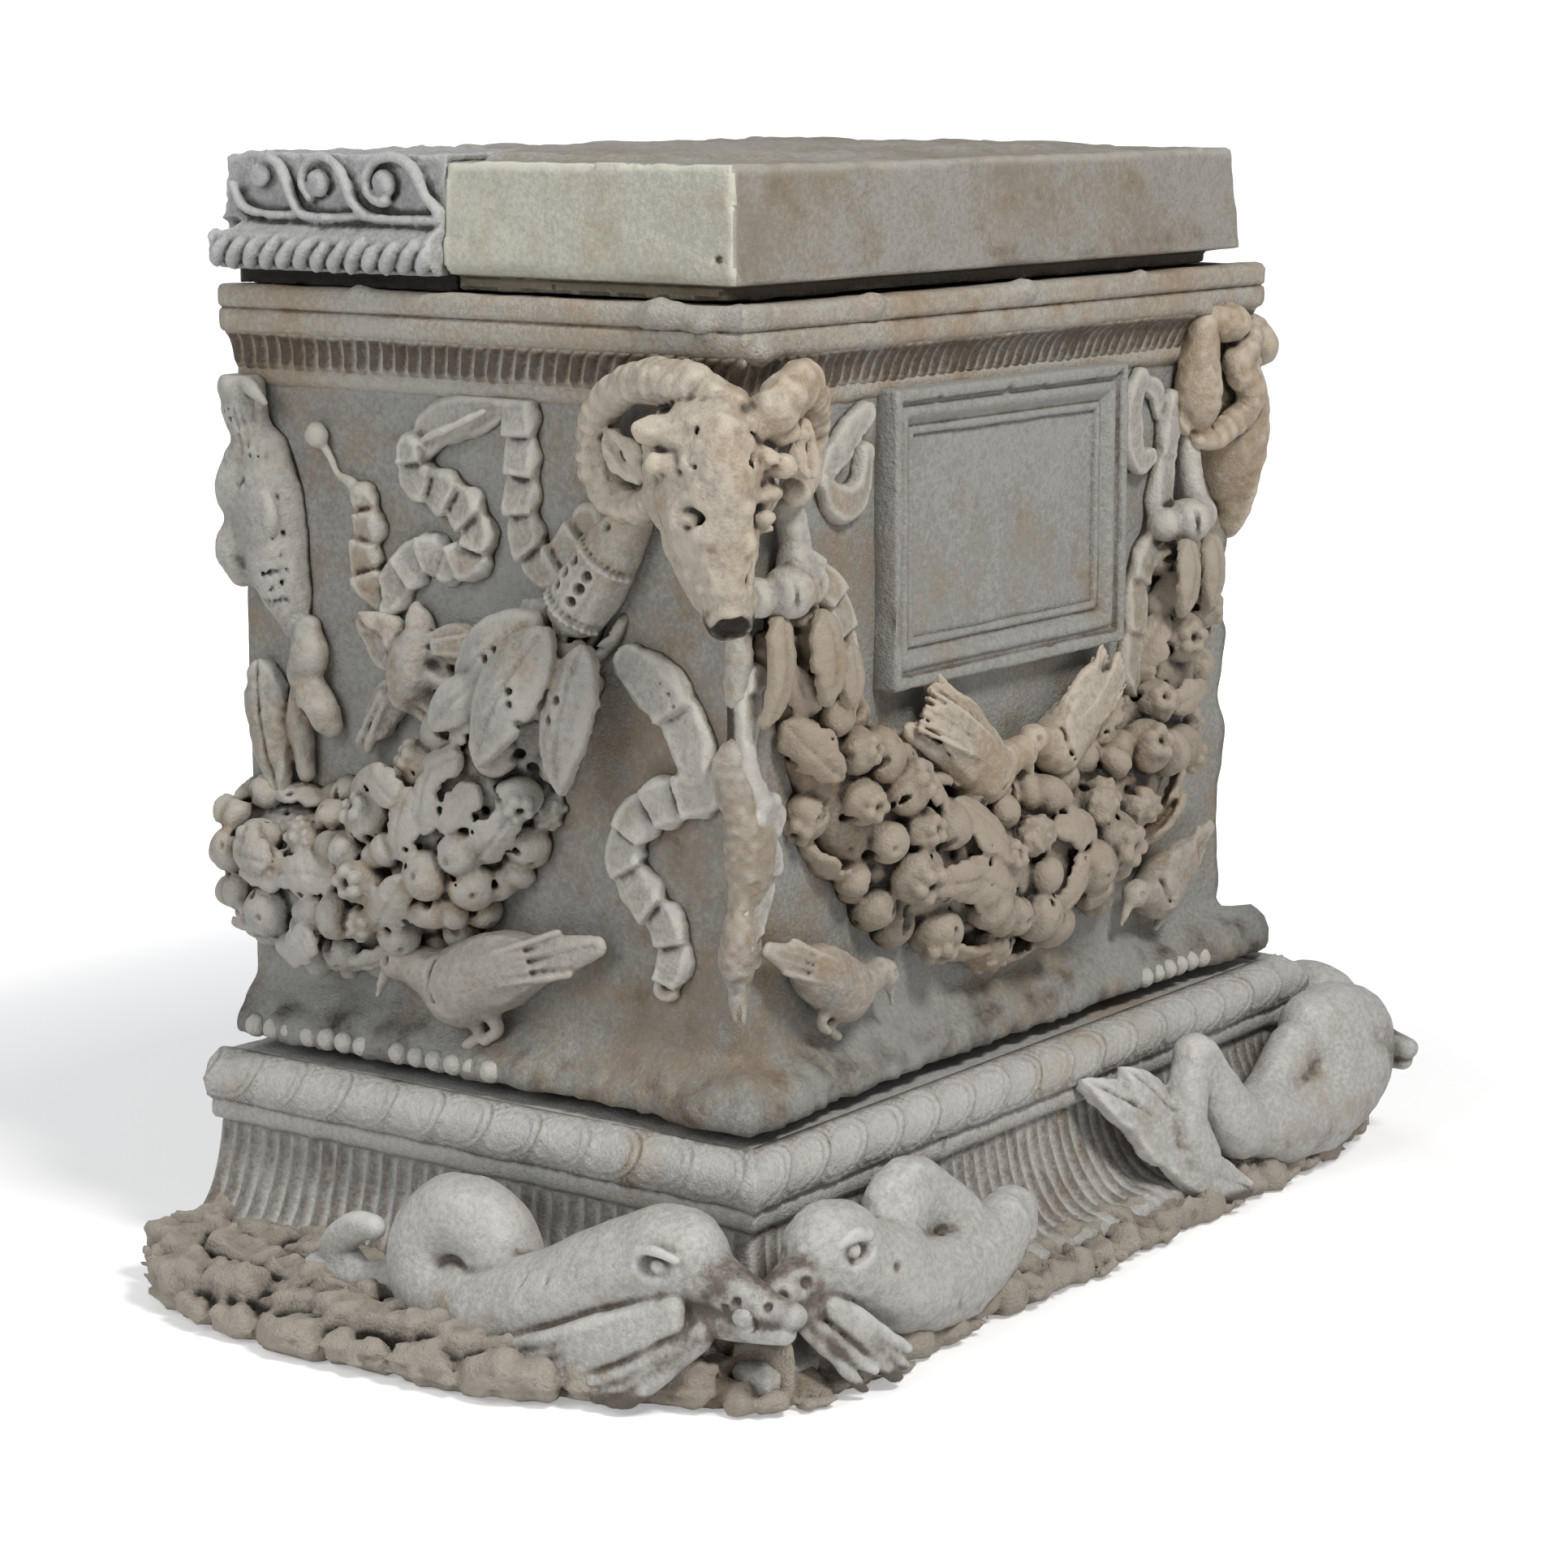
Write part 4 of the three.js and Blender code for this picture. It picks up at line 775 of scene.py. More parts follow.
def snout_crust(points):
    """The snouts and the lowest fins kept their brown crust."""
    snout = np.clip((2 - points[:, 0]) / 22, 0, 1) * np.clip((74 - points[:, 2]) / 16, 0, 1)
    fins = np.clip((34 - points[:, 2]) / 14, 0, 1) * np.clip((points[:, 1] - 50) / 8, 0, 1)
    return (0.42 * snout + 0.2 * fins) * (0.8 + 0.5 * grain(points, 8.0, 17))


coiled = coiled_creature()
for name, clay, side, hand in (
    ("sea_creature_side_left", coiled, True, -1),
    ("sea_creature_side_right", coiled, True, 1),
    ("sea_creature_front_left", humped_creature(), False, -1),
    ("sea_creature_front_right", great_coil(), False, 1),
):
    clay.skin(name, creature_marble, "plinth_body", on_plinth(side, hand), plinth_stone, 4.0, snout_crust)

# The rocky foot. Rough flat slabs and lobed stones are left standing all round, with deep gaps,
# and the marble is stained brown and black where it was never polished; the gaps also get painted shade.
rock_marble = marble(
    "rock_marble", (0.36, 0.32, 0.27), (0.29, 0.21, 0.135), (0.03, 0.023, 0.017), 1.0, 0.5, 0.72, 3.0, 1.6
)
FOOT_LINE = [
    (-270, 139), (-284, 116), (-301, 92), (-310, 62), (-312, 20), (-312, -27), (-302, -88), (-276, -146),
    (-254, -190), (-222, -201), (-160, -203), (-100, -198), (-34, -203), (30, -199), (76, -201),
    (130, -197), (180, -197), (226, -192), (258, -172), (284, -128), (303, -78), (312, -20), (313, 40),
    (303, 92), (284, 118), (270, 139)
]


def gap_to_line(x, y, line):
    """Distance in the plane to a closed line of points, negative inside it."""
    best = np.full(x.shape, 1e9)
    inside = np.zeros(x.shape, bool)
    for (ax, ay), (bx, by) in zip(line, np.roll(line, -1, 0)):
        along = ((x - ax) * (bx - ax) + (y - ay) * (by - ay)) / max((bx - ax) ** 2 + (by - ay) ** 2, 1e-9)
        share = np.clip(along, 0, 1)
        best = np.minimum(best, np.hypot(x - ax - share * (bx - ax), y - ay - share * (by - ay)))
        if ay != by:
            inside ^= ((ay > y) != (by > y)) & (x < ax + (y - ay) / (by - ay) * (bx - ax))
    return np.where(inside, -best, best)


def foot_stones():
    """Where the stones lie: middle (x, y), half length, half width, level, turn. Small lobed ones stand
    in rows along the front, and long flat ones along the sides."""
    dice = np.random.default_rng(31)
    stones = []
    for row, (y, level) in enumerate(((-203, 9), (-190, 14), (-176, 17), (-160, 16))):
        for x in np.arange(-250 + 9 * (row % 2), 256, 19.0):
            shift = max(0.0, abs(x) - 205) * 0.5
            stones.append(
                (
                    x + dice.uniform(-4, 4), y + shift + dice.uniform(-3, 3), 14, 9,
                    level + dice.uniform(-3, 3), dice.uniform(0.2, 1.3)
                )
            )
    for hand in (-1, 1):
        for row, (x, level) in enumerate(((305, 16), (286, 22), (266, 25), (244, 24))):
            for y in np.arange(-160 + 17 * (row % 2), 140, 34.0):
                shift = max(0.0, -y - 60) * 0.32
                stones.append(
                    (
                        hand * (x - shift + dice.uniform(-4, 4)), y + dice.uniform(-7, 7), 27, 11,
                        level + dice.uniform(-3, 3) - 0.02 * shift, pi / 2 + dice.uniform(-0.3, 0.3)
                    )
                )
    return stones


def rocky_foot():
    """A low slab that follows the foot's outline, split into stones by deep rounded gaps."""
    clay = Carving((-320, -216, -4), (320, 144, 38), 2.5)
    slices, points = clay.window(clay.low, clay.low + clay.step * np.array(clay.shape))
    outline = smooth_line([(*spot, 0, 0) for spot in FOOT_LINE], 8.0)[:, :2]
    plan = points[:, :, :1] * (1, 1, 0)
    edge = gap_to_line(plan[:, :, 0, 0], plan[:, :, 0, 1], outline)[..., None]
    x = plan[..., 0] + 3.0 * grain(plan, 16.0, 21)
    y = plan[..., 1] + 3.0 * grain(plan, 16.0, 28)
    nearest, second = np.full(x.shape, 99.0), np.full(x.shape, 99.0)
    level, own = np.zeros(x.shape), np.zeros(x.shape)
    for number, (mx, my, length, width, top, turn) in enumerate(foot_stones()):
        along = (x - mx) * cos(turn) + (y - my) * sin(turn)
        across = -(x - mx) * sin(turn) + (y - my) * cos(turn)
        away = np.hypot(along / length, across / width)
        closer = away < nearest
        second = np.where(closer, nearest, np.minimum(second, away))
        nearest = np.where(closer, away, nearest)
        level = np.where(
            closer, top + 0.10 * along * sin(number) + 0.16 * across * cos(2.3 * number), level
        )
        own = np.where(closer, 3.0 * sin(4.1 * number), own)
    split = (1 - np.clip((second - nearest) / 0.36, 0, 1)) ** 1.6
    ledge = 2.2 * np.floor(1.4 * grain(plan, 13.0, 30) + 0.5) + 1.8 * grain(plan, 6.0, 24)
    z = points[..., 2]
    ragged = 2.0 * grain(points * (1, 1, 0.15), 26.0, 29) + 1.6 * grain(points * (1, 1, 2.0), 9.0, 22)
    layers = (
        1.5 * np.sin(z * 1.05 + 2.6 * grain(points, 40.0, 25))
        * np.clip((np.abs(points[..., 0]) - 225) / 40, 0, 1)
    )
    rim = edge + 3 + own + 6 * split + ragged + layers + 6.0 * np.clip(1 - z / 6.0, 0, 1)
    rounded = 3.0 * np.clip(1 + (edge + 3 + own) / 7, 0, 1) ** 2
    top = z - level + 6.0 * split + rounded + ledge
    clay.merge(slices, np.maximum(rim, top) * 0.65, 2.0)
    clay.weather((6.0, 1.5, 26), (3.2, 0.9, 27))
    clay.keep_inside((-314.5, -211, 0.4), (314.5, BACK, 38))
    return clay


rocky_foot().skin("plinth_rocks", rock_marble, "plinth_body", reach=7.0)

# Thin rubber pads lie between the plinth and the chest, and leave the dark gap under its foot.
# Only their edges show. They keep their shape from the frame.
def even_grey(name, stretch, scale, detail, tones, roughs, bump, metallic):
    """An even grey stuff whose tone, roughness and surface follow one fine grain, stretched or not."""
    material, _, add = node_tree(name)
    place = add("Mapping", {"Vector": add("TexCoord").outputs["Object"], "Scale": stretch}).outputs[0]
    fine = add("TexNoise", {"Vector": place, "Scale": scale, "Detail": detail}).outputs[0]
    tone = add("MapRange", {"Value": fine, "To Min": tones[0], "To Max": tones[1]}).outputs[0]
    rough = add("MapRange", {"Value": fine, "To Min": roughs[0], "To Max": roughs[1]}).outputs[0]
    raised = add("Bump", {"Height": fine, "Strength": bump[0], "Distance": bump[1]}).outputs[0]
    look = {"Base Color": tone, "Roughness": rough, "Metallic": metallic, "Normal": raised}
    add("OutputMaterial", {"Surface": add("BsdfPrincipled", look).outputs[0]})
    return material


def clothe(nodes, material):
    """Gives a material to nodes that keep their shape from the frame."""
    for node in nodes:
        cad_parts[node].data.materials.clear()
        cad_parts[node].data.materials.append(material)


rubber = even_grey(
    "pad_rubber", (1.0, 1.0, 1.0), 700.0, 4.0, (0.018, 0.05), (0.7, 0.95), (0.3, 0.0004), 0.0
)
clothe(("shim_front_left", "shim_front_right", "shim_back_left", "shim_back_right"), rubber)

# The chest's block. One piece of marble, roughly picked at the back, hollowed from the top for the
# ashes, with a flat rim that the lid sits on.
SIDE, FRONT, FOOT, TOP = 188.0, 125.0, 96.0, 422.0
WALL_THICKNESS, HOLLOW_FLOOR = 32.0, 174.0
chest_marble = marble(
    "chest_marble", (0.335, 0.33, 0.305), (0.34, 0.265, 0.185), (0.06, 0.045, 0.032), 0.85, 0.5, 0.6, 4.0
)


def hollowed_block():
    """The core behind the carved walls: two nested boxes joined by the rim, gridded and picked."""
    outer = [(-SIDE + 2, -FRONT + 2, FOOT + 1), (SIDE - 2, BACK, TOP - 0.6)]
    inner = [
        (-SIDE + WALL_THICKNESS, -FRONT + WALL_THICKNESS, HOLLOW_FLOOR),
        (SIDE - WALL_THICKNESS, BACK - WALL_THICKNESS, TOP - 0.6),
    ]
    mesh = bpy.data.meshes.new("chest_block")
    corners = []
    for (x0, y0, z0), (x1, y1, z1) in (outer, inner):
        for z in (z0, z1):
            corners += [(x0, y0, z), (x1, y0, z), (x1, y1, z), (x0, y1, z)]
    faces = [(3, 2, 1, 0), (8, 9, 10, 11)]
    for i in range(4):
        j = (i + 1) % 4
        faces += [(i, j, j + 4, i + 4), (i + 4, j + 4, j + 12, i + 12), (i + 12, j + 12, j + 8, i + 8)]
    mesh.from_pydata(corners, [], faces)
    made = bmesh.new()
    made.from_mesh(mesh)
    bmesh.ops.subdivide_edges(made, edges=made.edges[:], cuts=30, use_grid_fill=True)
    made.normal_update()
    places = np.array([vertex.co for vertex in made.verts])
    picked = 1.2 * (0.5 + 0.5 * grain(places, 16.0, 31)) + 0.5 * (0.5 + 0.5 * grain(places, 7.0, 32))
    normals = np.array([vertex.normal for vertex in made.verts])
    places -= normals * picked[:, None]
    quads = np.array([[vertex.index for vertex in face.verts] for face in made.faces])
    made.free()
    bpy.data.meshes.remove(mesh)
    return make_piece("chest_block", places, quads, chest_marble, "chest_body")


chest_block = hollowed_block()
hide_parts("chest")


def chest_wall(run, share, place):
    """The smoothed ground between the carvings, and a rough, broken foot."""
    x, y, z = place[..., 0], place[..., 1], place[..., 2]
    height = (
        -1.0 + 0.8 * grain(place, 42.0, 33) + 0.35 * grain(place, 12.0, 34) + 0.12 * grain(place, 4.0, 35)
    )
    low = np.clip((120 - z) / 12, 0, 1)
    height += low * (-1.6 + 1.8 * grain(place, 12.0, 36) + 2.0 * grain(place, 5.5, 37))
    edge_gap = np.minimum(np.hypot(x + SIDE, y + FRONT), np.hypot(x - SIDE, y + FRONT))
    height -= np.clip(1 - edge_gap / 45, 0, 1) * np.clip((116 - z) / 14, 0, 1) * 9.0
    height -= np.clip(1 - edge_gap / 9, 0, 1) * (1.5 + 1.5 * grain(place, 15.0, 38))
    hollow = 0.4 + 0.11 * low * (1 + 1.4 * grain(place, 8.0, 39)) + 0.12 * grain(place, 30.0, 40)
    return np.minimum(height, 0.4), hollow


wall_profile = [(0.0, z) for z in np.arange(384.0, 122.0, -2.6)]
wall_profile += [
    (0.3, 121), (0.9, 119.5), (1.8, 118), (3.2, 115.8), (5, 113.2), (7, 110.6), (9.2, 108), (11.4, 105.6),
    (13, 103.6), (13.8, 101.8), (14, 99.8), (13.6, 98.0), (12.4, 96.8), (10.0, 96.3), (6.0, 96.2),
    (2.0, 96.2)
]
chest_walls = moulding(
    "chest_walls", wall_profile, SIDE, FRONT, 2.4, chest_marble, "chest_body", chest_wall
)
# The broken corners don't hang below the bed on which the chest stands.
wall_places = np.empty(len(chest_walls.data.vertices) * 3, np.float32)
chest_walls.data.vertices.foreach_get("co", wall_places)
wall_places[2::3] = np.maximum(wall_places[2::3], FOOT / 1000)
chest_walls.data.vertices.foreach_set("co", wall_places)

# Beads survive along the foot where it wasn't broken. Each is a small worn ball cut from the block,
# and they stand at an even pitch.
BEAD_PITCH, BEAD_RADIUS = 10.2, 5.0
bead_marble = marble("bead_marble", (0.48, 0.46, 0.42), (0.50, 0.41, 0.30), CRUST_AND_SHADE, 0.8, 0.4, 0.55, 5.0)


def bead_row(name, axis_place, spans, seed):
    """Worn beads at a regular pitch along the foot, over the spans (mm from the front or left end)."""
    dice = np.random.default_rng(seed)
    clay = Carving((min(s[0] for s in spans) - 8, 5, -4), (max(s[1] for s in spans) + 8, 24, 14), 0.7)
    for start, end in spans:
        for along in np.arange(start, end, BEAD_PITCH):
            size = BEAD_RADIUS * dice.uniform(0.9, 1.04)
            clay.lump(
                (along + dice.uniform(-0.3, 0.3), 14.4, 4.6), (size, size * 0.96, size * 0.97), blend=0.6
            )
    clay.weather((3.0, 0.25, seed))
    return clay.skin(name, bead_marble, "chest_body", axis_place, lambda a, o, u: o < 13, 3.0)


def on_wall(wall):
    """Moves wall axes (along, out, up from the foot) to the left, front or right wall."""

    def place(points):
        along, out, up = points[:, 0], points[:, 1], points[:, 2]
        if wall == "front":
            return np.stack([along - SIDE, -FRONT - out, up + FOOT], 1)
        hand = -1 if wall == "left" else 1
        return np.stack([hand * (SIDE + out), along - FRONT, up + FOOT], 1)

    return place


SIDE_BEADS = [(118, 172), (190, 228), (232, 262)]
bead_row("foot_beads_left", on_wall("left"), SIDE_BEADS, 41)
bead_row("foot_beads_right", on_wall("right"), SIDE_BEADS, 42)
bead_row("foot_beads_front", on_wall("front"), [(292, 372)], 43)

# The cornice under the lid: two fillets parted by a groove, slanting flutes in a hollow, and a thin
# fillet where the wall begins. Its edge is chipped, with warm staining along the top.
cornice_marble = marble(
    "cornice_marble", (0.46, 0.435, 0.385), (0.44, 0.34, 0.235), CRUST_AND_SHADE, 0.8, 0.6, 0.58, 6.0
)
CHIPS = [
    (-202, -96, 418, 13), (-200, -118, 415, 10), (-115, -139, 419, 8), (-2, -139, 419, 9),
    (-190, -139, 404, 11), (-202, 60, 424, 7), (95, -139, 423, 6), (150, -139, 404, 7), (202, -20, 420, 9),
    (202, 80, 404, 8)
]


def chipped(place):
    """How deep the knocks in the cornice's edge are at each place."""
    depth = 0.0
    for x, y, z, size in CHIPS:
        gap = np.sqrt((place[..., 0] - x) ** 2 + (place[..., 1] - y) ** 2 + 2.2 * (place[..., 2] - z) ** 2)
        depth = np.maximum(depth, np.clip(1 - gap / size * (1 + 0.3 * grain(place, 5.0, 44)), 0, 1) * 4.5)
    return depth


GROOVE_LEVEL, GROOVE_WIDTH = 412.3, 1.1


def fascia_wear(run, share, place):
    """Softly worn fillets with knocked edges."""
    height = -0.5 + 0.4 * grain(place, 18.0, 45) + 0.25 * grain(place, 5.0, 46)
    groove = np.exp(-(((place[..., 2] - GROOVE_LEVEL) / GROOVE_WIDTH) ** 2))
    depth = chipped(place)
    # The groove and the knocks count as hollow, so the marble paints crust and shade in them.
    return np.minimum(height, 0) - depth, 0.36 + 0.35 * groove + 0.1 * (depth > 0.2)


fascia_profile = [
    (6.0, 421.8), (11.5, 421.8), (13.2, 421.2), (14.0, 420.0), (14.0, 417.5), (14.0, 415.4), (13.9, 414.2),
    (12.6, 413.2), (11.8, 412.4), (12.6, 411.6), (13.6, 410.9), (13.8, 409.4), (13.8, 407.4), (13.7, 405.4),
    (13.2, 403.8), (12.0, 402.8), (9.0, 402.6)
]
moulding("cornice_fillets", fascia_profile, SIDE, FRONT, 1.6, cornice_marble, "chest_body", fascia_wear)


def cornice_flutes(run, share, place):
    """Leaning flutes, deepest under the fillet, where each ends in a small arch."""
    pitch, lean = 7.2, 4.5
    x = ((run + lean * share) / pitch) % 1.0 * 2 - 1
    dip = np.sqrt(np.clip(1 - x**2, 0, 1))
    held = np.clip((1.0 - share) / 0.25, 0, 1) * np.clip((share - 0.02 - 0.05 * (1 - dip)) / 0.05, 0, 1)
    wear = 0.3 * grain(place, 14.0, 47)
    # The flute bottoms count as hollow, so the marble paints crust and shade in them.
    return -2.9 * dip * held * (0.9 + wear) - 0.3 + wear * 0.5, 0.28 + 0.55 * dip * held


angles = np.linspace(0, pi / 2, 16)
flute_profile = [(2.5 + 9.8 * (1 - sin(a)) ** 1.1, 403.2 - 16.4 * (1 - cos(a)) ** 0.9) for a in angles]
moulding("cornice_flutes", flute_profile, SIDE, FRONT, 0.75, cornice_marble, "chest_body", cornice_flutes)
neck_profile = [
    (1.5, 387.4), (2.9, 386.6), (3.4, 385.2), (3.4, 383.2), (2.8, 381.4), (1.2, 380.2), (0.2, 379.6)
]
moulding("cornice_neck", neck_profile, SIDE, FRONT, 2.0, cornice_marble, "chest_body", worn_edge)

# The framed panel on the front. Its frame is a stack of small mouldings round a sunk field, and the
# field is a plain smoothed tablet of paler grey marble.
PANEL_LEFT, PANEL_RIGHT, PANEL_LOW, PANEL_HIGH = -96.0, 88.0, 258.0, 384.0
panel_marble = marble("panel_marble", (0.38, 0.375, 0.35), (0.38, 0.315, 0.235), CRUST_AND_SHADE, 0.7, 0.3, 0.55, 7.0)


def panel_frame():
    """The frame's section swept round the panel's four edges."""
    section = [
        (-0.2, -6), (0.2, 6), (0.5, 10.5), (1.2, 11.7), (2.4, 12.0), (4.6, 12.0), (5.8, 11.4), (6.3, 9.8),
        (6.6, 8.4), (7.6, 8.2), (8.3, 9.2), (9.4, 10.2), (11.0, 10.3), (12.8, 9.4), (14.2, 8.0),
        (15.4, 6.6), (16.6, 5.9), (17.2, 6.8), (18.2, 7.4), (19.8, 7.2), (20.6, 6.2), (21.0, 4.0),
        (21.2, -6)
    ]
    corners = []
    for inset, rise in section:
        x0, x1 = PANEL_LEFT + inset, PANEL_RIGHT - inset
        z0, z1 = PANEL_LOW + inset, PANEL_HIGH - inset
        corners.append([(x, -FRONT - rise, z) for x, z in ((x0, z1), (x0, z0), (x1, z0), (x1, z1))])

    def wear(run, share, place):
        """Softened arrises, with small chips on the outer edge."""
        height = -0.35 + 0.35 * grain(place, 16.0, 48) + 0.2 * grain(place, 4.0, 49)
        chips = np.clip(grain(place, 9.0, 50) - 0.6, 0, 1) * 6 * (share < 0.35)
        groove = np.exp(-(((share - 0.34) / 0.05) ** 2)) + np.exp(-(((share - 0.73) / 0.04) ** 2))
        # The grooves count as hollow, so the marble paints crust and shade in them.
        return np.minimum(height, 0.1) - chips, 0.34 + 0.4 * groove

    return sweep("panel_frame", corners, 1.5, panel_marble, "chest_body", wear, True)


panel_frame()
FIELD_INSET, FIELD_RISE = 19.0, 5.2
gridded_block(
    "panel_field",
    (PANEL_LEFT + FIELD_INSET, -FRONT - FIELD_RISE, PANEL_LOW + FIELD_INSET),
    (PANEL_RIGHT - FIELD_INSET, -FRONT + 4, PANEL_HIGH - FIELD_INSET),
    4.0,
    panel_marble,
    "chest_body",
    0.7,
    51,
)

# The carving on the chest's walls. It is all one stone with the block, cut in high relief and drilled:
# ribbons first, then fruit garlands, birds and the two rams' heads. Wall axes are along, out and up.
relief_marble = marble(
    "relief_marble", (0.39, 0.375, 0.34), (0.40, 0.305, 0.205), (0.035, 0.027, 0.019), 0.95, 0.55, 0.5, 8.0,
    0.8
)
ribbon_marble = marble(
    "ribbon_marble", (0.46, 0.44, 0.395), (0.45, 0.35, 0.24), (0.06, 0.045, 0.03), 0.9, 0.45, 0.48, 9.0, 0.7
)
front_marble = marble(
    "front_relief_marble", (0.345, 0.295, 0.235), (0.35, 0.25, 0.16), (0.035, 0.025, 0.017), 0.95, 0.55,
    0.5, 10.0, 0.8
)


def wall_stone(along, out, up):
    """True inside the wall behind a relief."""
    return out < 0.5


def strip(clay, stops, rise=5.0, pitch=15.0, fold=4.2, slant=0.1, seed=0):
    """A cloth band on the wall through stops (along, up, half width), laid in soft overlapping folds."""
    line = smooth_line([(a, v, 0.0, half) for a, v, half in stops], 3.0)
    margin = line[:, 3].max() + 4
    low = (line[:, 0].min() - margin, -4, line[:, 1].min() - margin)
    high = (line[:, 0].max() + margin, rise + fold + 8, line[:, 1].max() + margin)
    slices, points = clay.window(low, high)
    along, up = points[:, :1, :, 0], points[:, :1, :, 2]
    best = np.full(along.shape, 1e9)
    walked, aside, half = (np.zeros(along.shape) for _ in range(3))
    run = 0.0
    for a, b in zip(line[:-1], line[1:]):
        step = b[:2] - a[:2]
        length = max(np.hypot(*step), 1e-6)
        share = np.clip(((along - a[0]) * step[0] + (up - a[1]) * step[1]) / length**2, 0, 1)
        gap = np.hypot(along - a[0] - share * step[0], up - a[1] - share * step[1])
        side = (step[0] * (up - a[1]) - step[1] * (along - a[0])) / length
        near = gap < best
        best = np.where(near, gap, best)
        walked = np.where(near, run + share * length, walked)
        aside = np.where(near, np.sign(side) * gap, aside)
        half = np.where(near, a[3] + (b[3] - a[3]) * share, half)
        run += length
    place = np.stack([along, 0 * along, up], -1)
    phase = (walked + slant * aside) / pitch + 0.55 * grain(place, 60.0, seed + 70)
    saw = phase % 1.0
    drop = np.clip((1 - saw) / 0.10, 0, 1)
    puff = np.sin(pi * np.clip(saw, 0.02, 0.98)) ** 0.5
    top = rise + fold * (0.25 * puff + 0.75 * saw**1.3 * drop * drop * (3 - 2 * drop) - 0.2)
    share = np.abs(aside) / np.maximum(half, 1)
    top += (
        0.5 * np.exp(-(((share - 0.78) / 0.16) ** 2)) - 2.0 * share**5 + 0.9 * grain(place, 10.0, seed + 72)
    )
    wobble = 1.1 * np.sin(2 * pi * (phase - 0.2)) + 0.7 * grain(place, 9.0, seed + 71)
    out = points[..., 1]
    clay.merge(slices, np.maximum(best - half - wobble, np.maximum(out - top, -3.0 - out)) * 0.75, 1.6)


def frame_of(normal, hint):
    """Three directions: along the hint, across it, and outwards, for laying things on a surface."""
    normal = np.array(normal, float) / np.linalg.norm(normal)
    first = np.array(hint, float) - normal * (np.array(hint, float) @ normal)
    first /= max(np.linalg.norm(first), 1e-9)
    return first, np.cross(normal, first), normal


def fruit(clay, spot, normal, hint, kind, size, dice):
    """One fruit on a garland: a berry with a drilled end, an acorn, a cone, a poppy head or a flower."""
    first, second, out = frame_of(normal, hint)
    axes = (first, second, out)
    spot = np.array(spot, float)
    if kind == "berry":
        clay.lump(spot, (size, size, size * 0.95), axes, 0.5)
        tilt = out + 0.5 * dice.uniform(-1, 1) * first + 0.5 * dice.uniform(-1, 1) * second
        tilt /= np.linalg.norm(tilt)
        clay.lump(spot + tilt * size, (1.7, 1.7, 2.6), frame_of(tilt, first), 0.5, True)
    elif kind == "acorn":
        clay.lump(spot + first * size * 0.35, (size * 1.25, size * 0.8, size * 0.8), axes, 0.4)
        clay.lump(spot - first * size * 0.5, (size * 0.75, size * 0.98, size * 0.98), axes, 0.3)
        clay.lump(spot + first * size * 1.6, (1.5, 1.1, 1.1), axes, 0.6)
        for ring in (-0.55, -0.2):
            turns = np.linspace(0, pi, 7)
            hoop = [
                (*(spot + first * size * ring + (second * cos(a) + out * sin(a)) * size * 0.98), 0.55)
                for a in turns
            ]
            clay.tube(hoop, 0.4, True)
    elif kind == "cone":
        clay.lump(spot, (size * 1.35, size * 0.95, size * 0.9), axes, 0.5)
        for i in range(26):
            share = (i + 0.5) / 26 * 2 - 1
            angle = i * 2.4
            ring = np.sqrt(max(0.0, 1 - share**2)) * size * 0.92
            bump = spot + first * share * size * 1.3 + (second * cos(angle) + out * abs(sin(angle))) * ring
            clay.lump(bump, (1.9, 1.5, 1.5), axes, 0.3)
    elif kind == "poppy":
        clay.lump(spot, (size * 1.1, size * 1.1, size), axes, 0.5)
        for i in range(5):
            angle = i * 2 * pi / 5
            petal = spot + out * size * 0.85 + (first * cos(angle) + second * sin(angle)) * size * 0.45
            clay.lump(petal, (size * 0.32, size * 0.32, size * 0.38), axes, 0.3)
        clay.lump(spot + out * size * 1.05, (1.6, 1.6, 3.0), axes, 0.4, True)
    else:
        for i in range(6):
            angle = i * 2 * pi / 6 + 0.3
            petal = spot + (first * cos(angle) + second * sin(angle)) * size * 0.75
            clay.lump(petal, (size * 0.45, size * 0.45, size * 0.35), axes, 0.5)
        clay.lump(spot + out * size * 0.25, (size * 0.4, size * 0.4, size * 0.4), axes, 0.3)
        clay.lump(spot + out * size * 0.7, (1.3, 1.3, 2.0), axes, 0.3, True)


TRIES = 9000


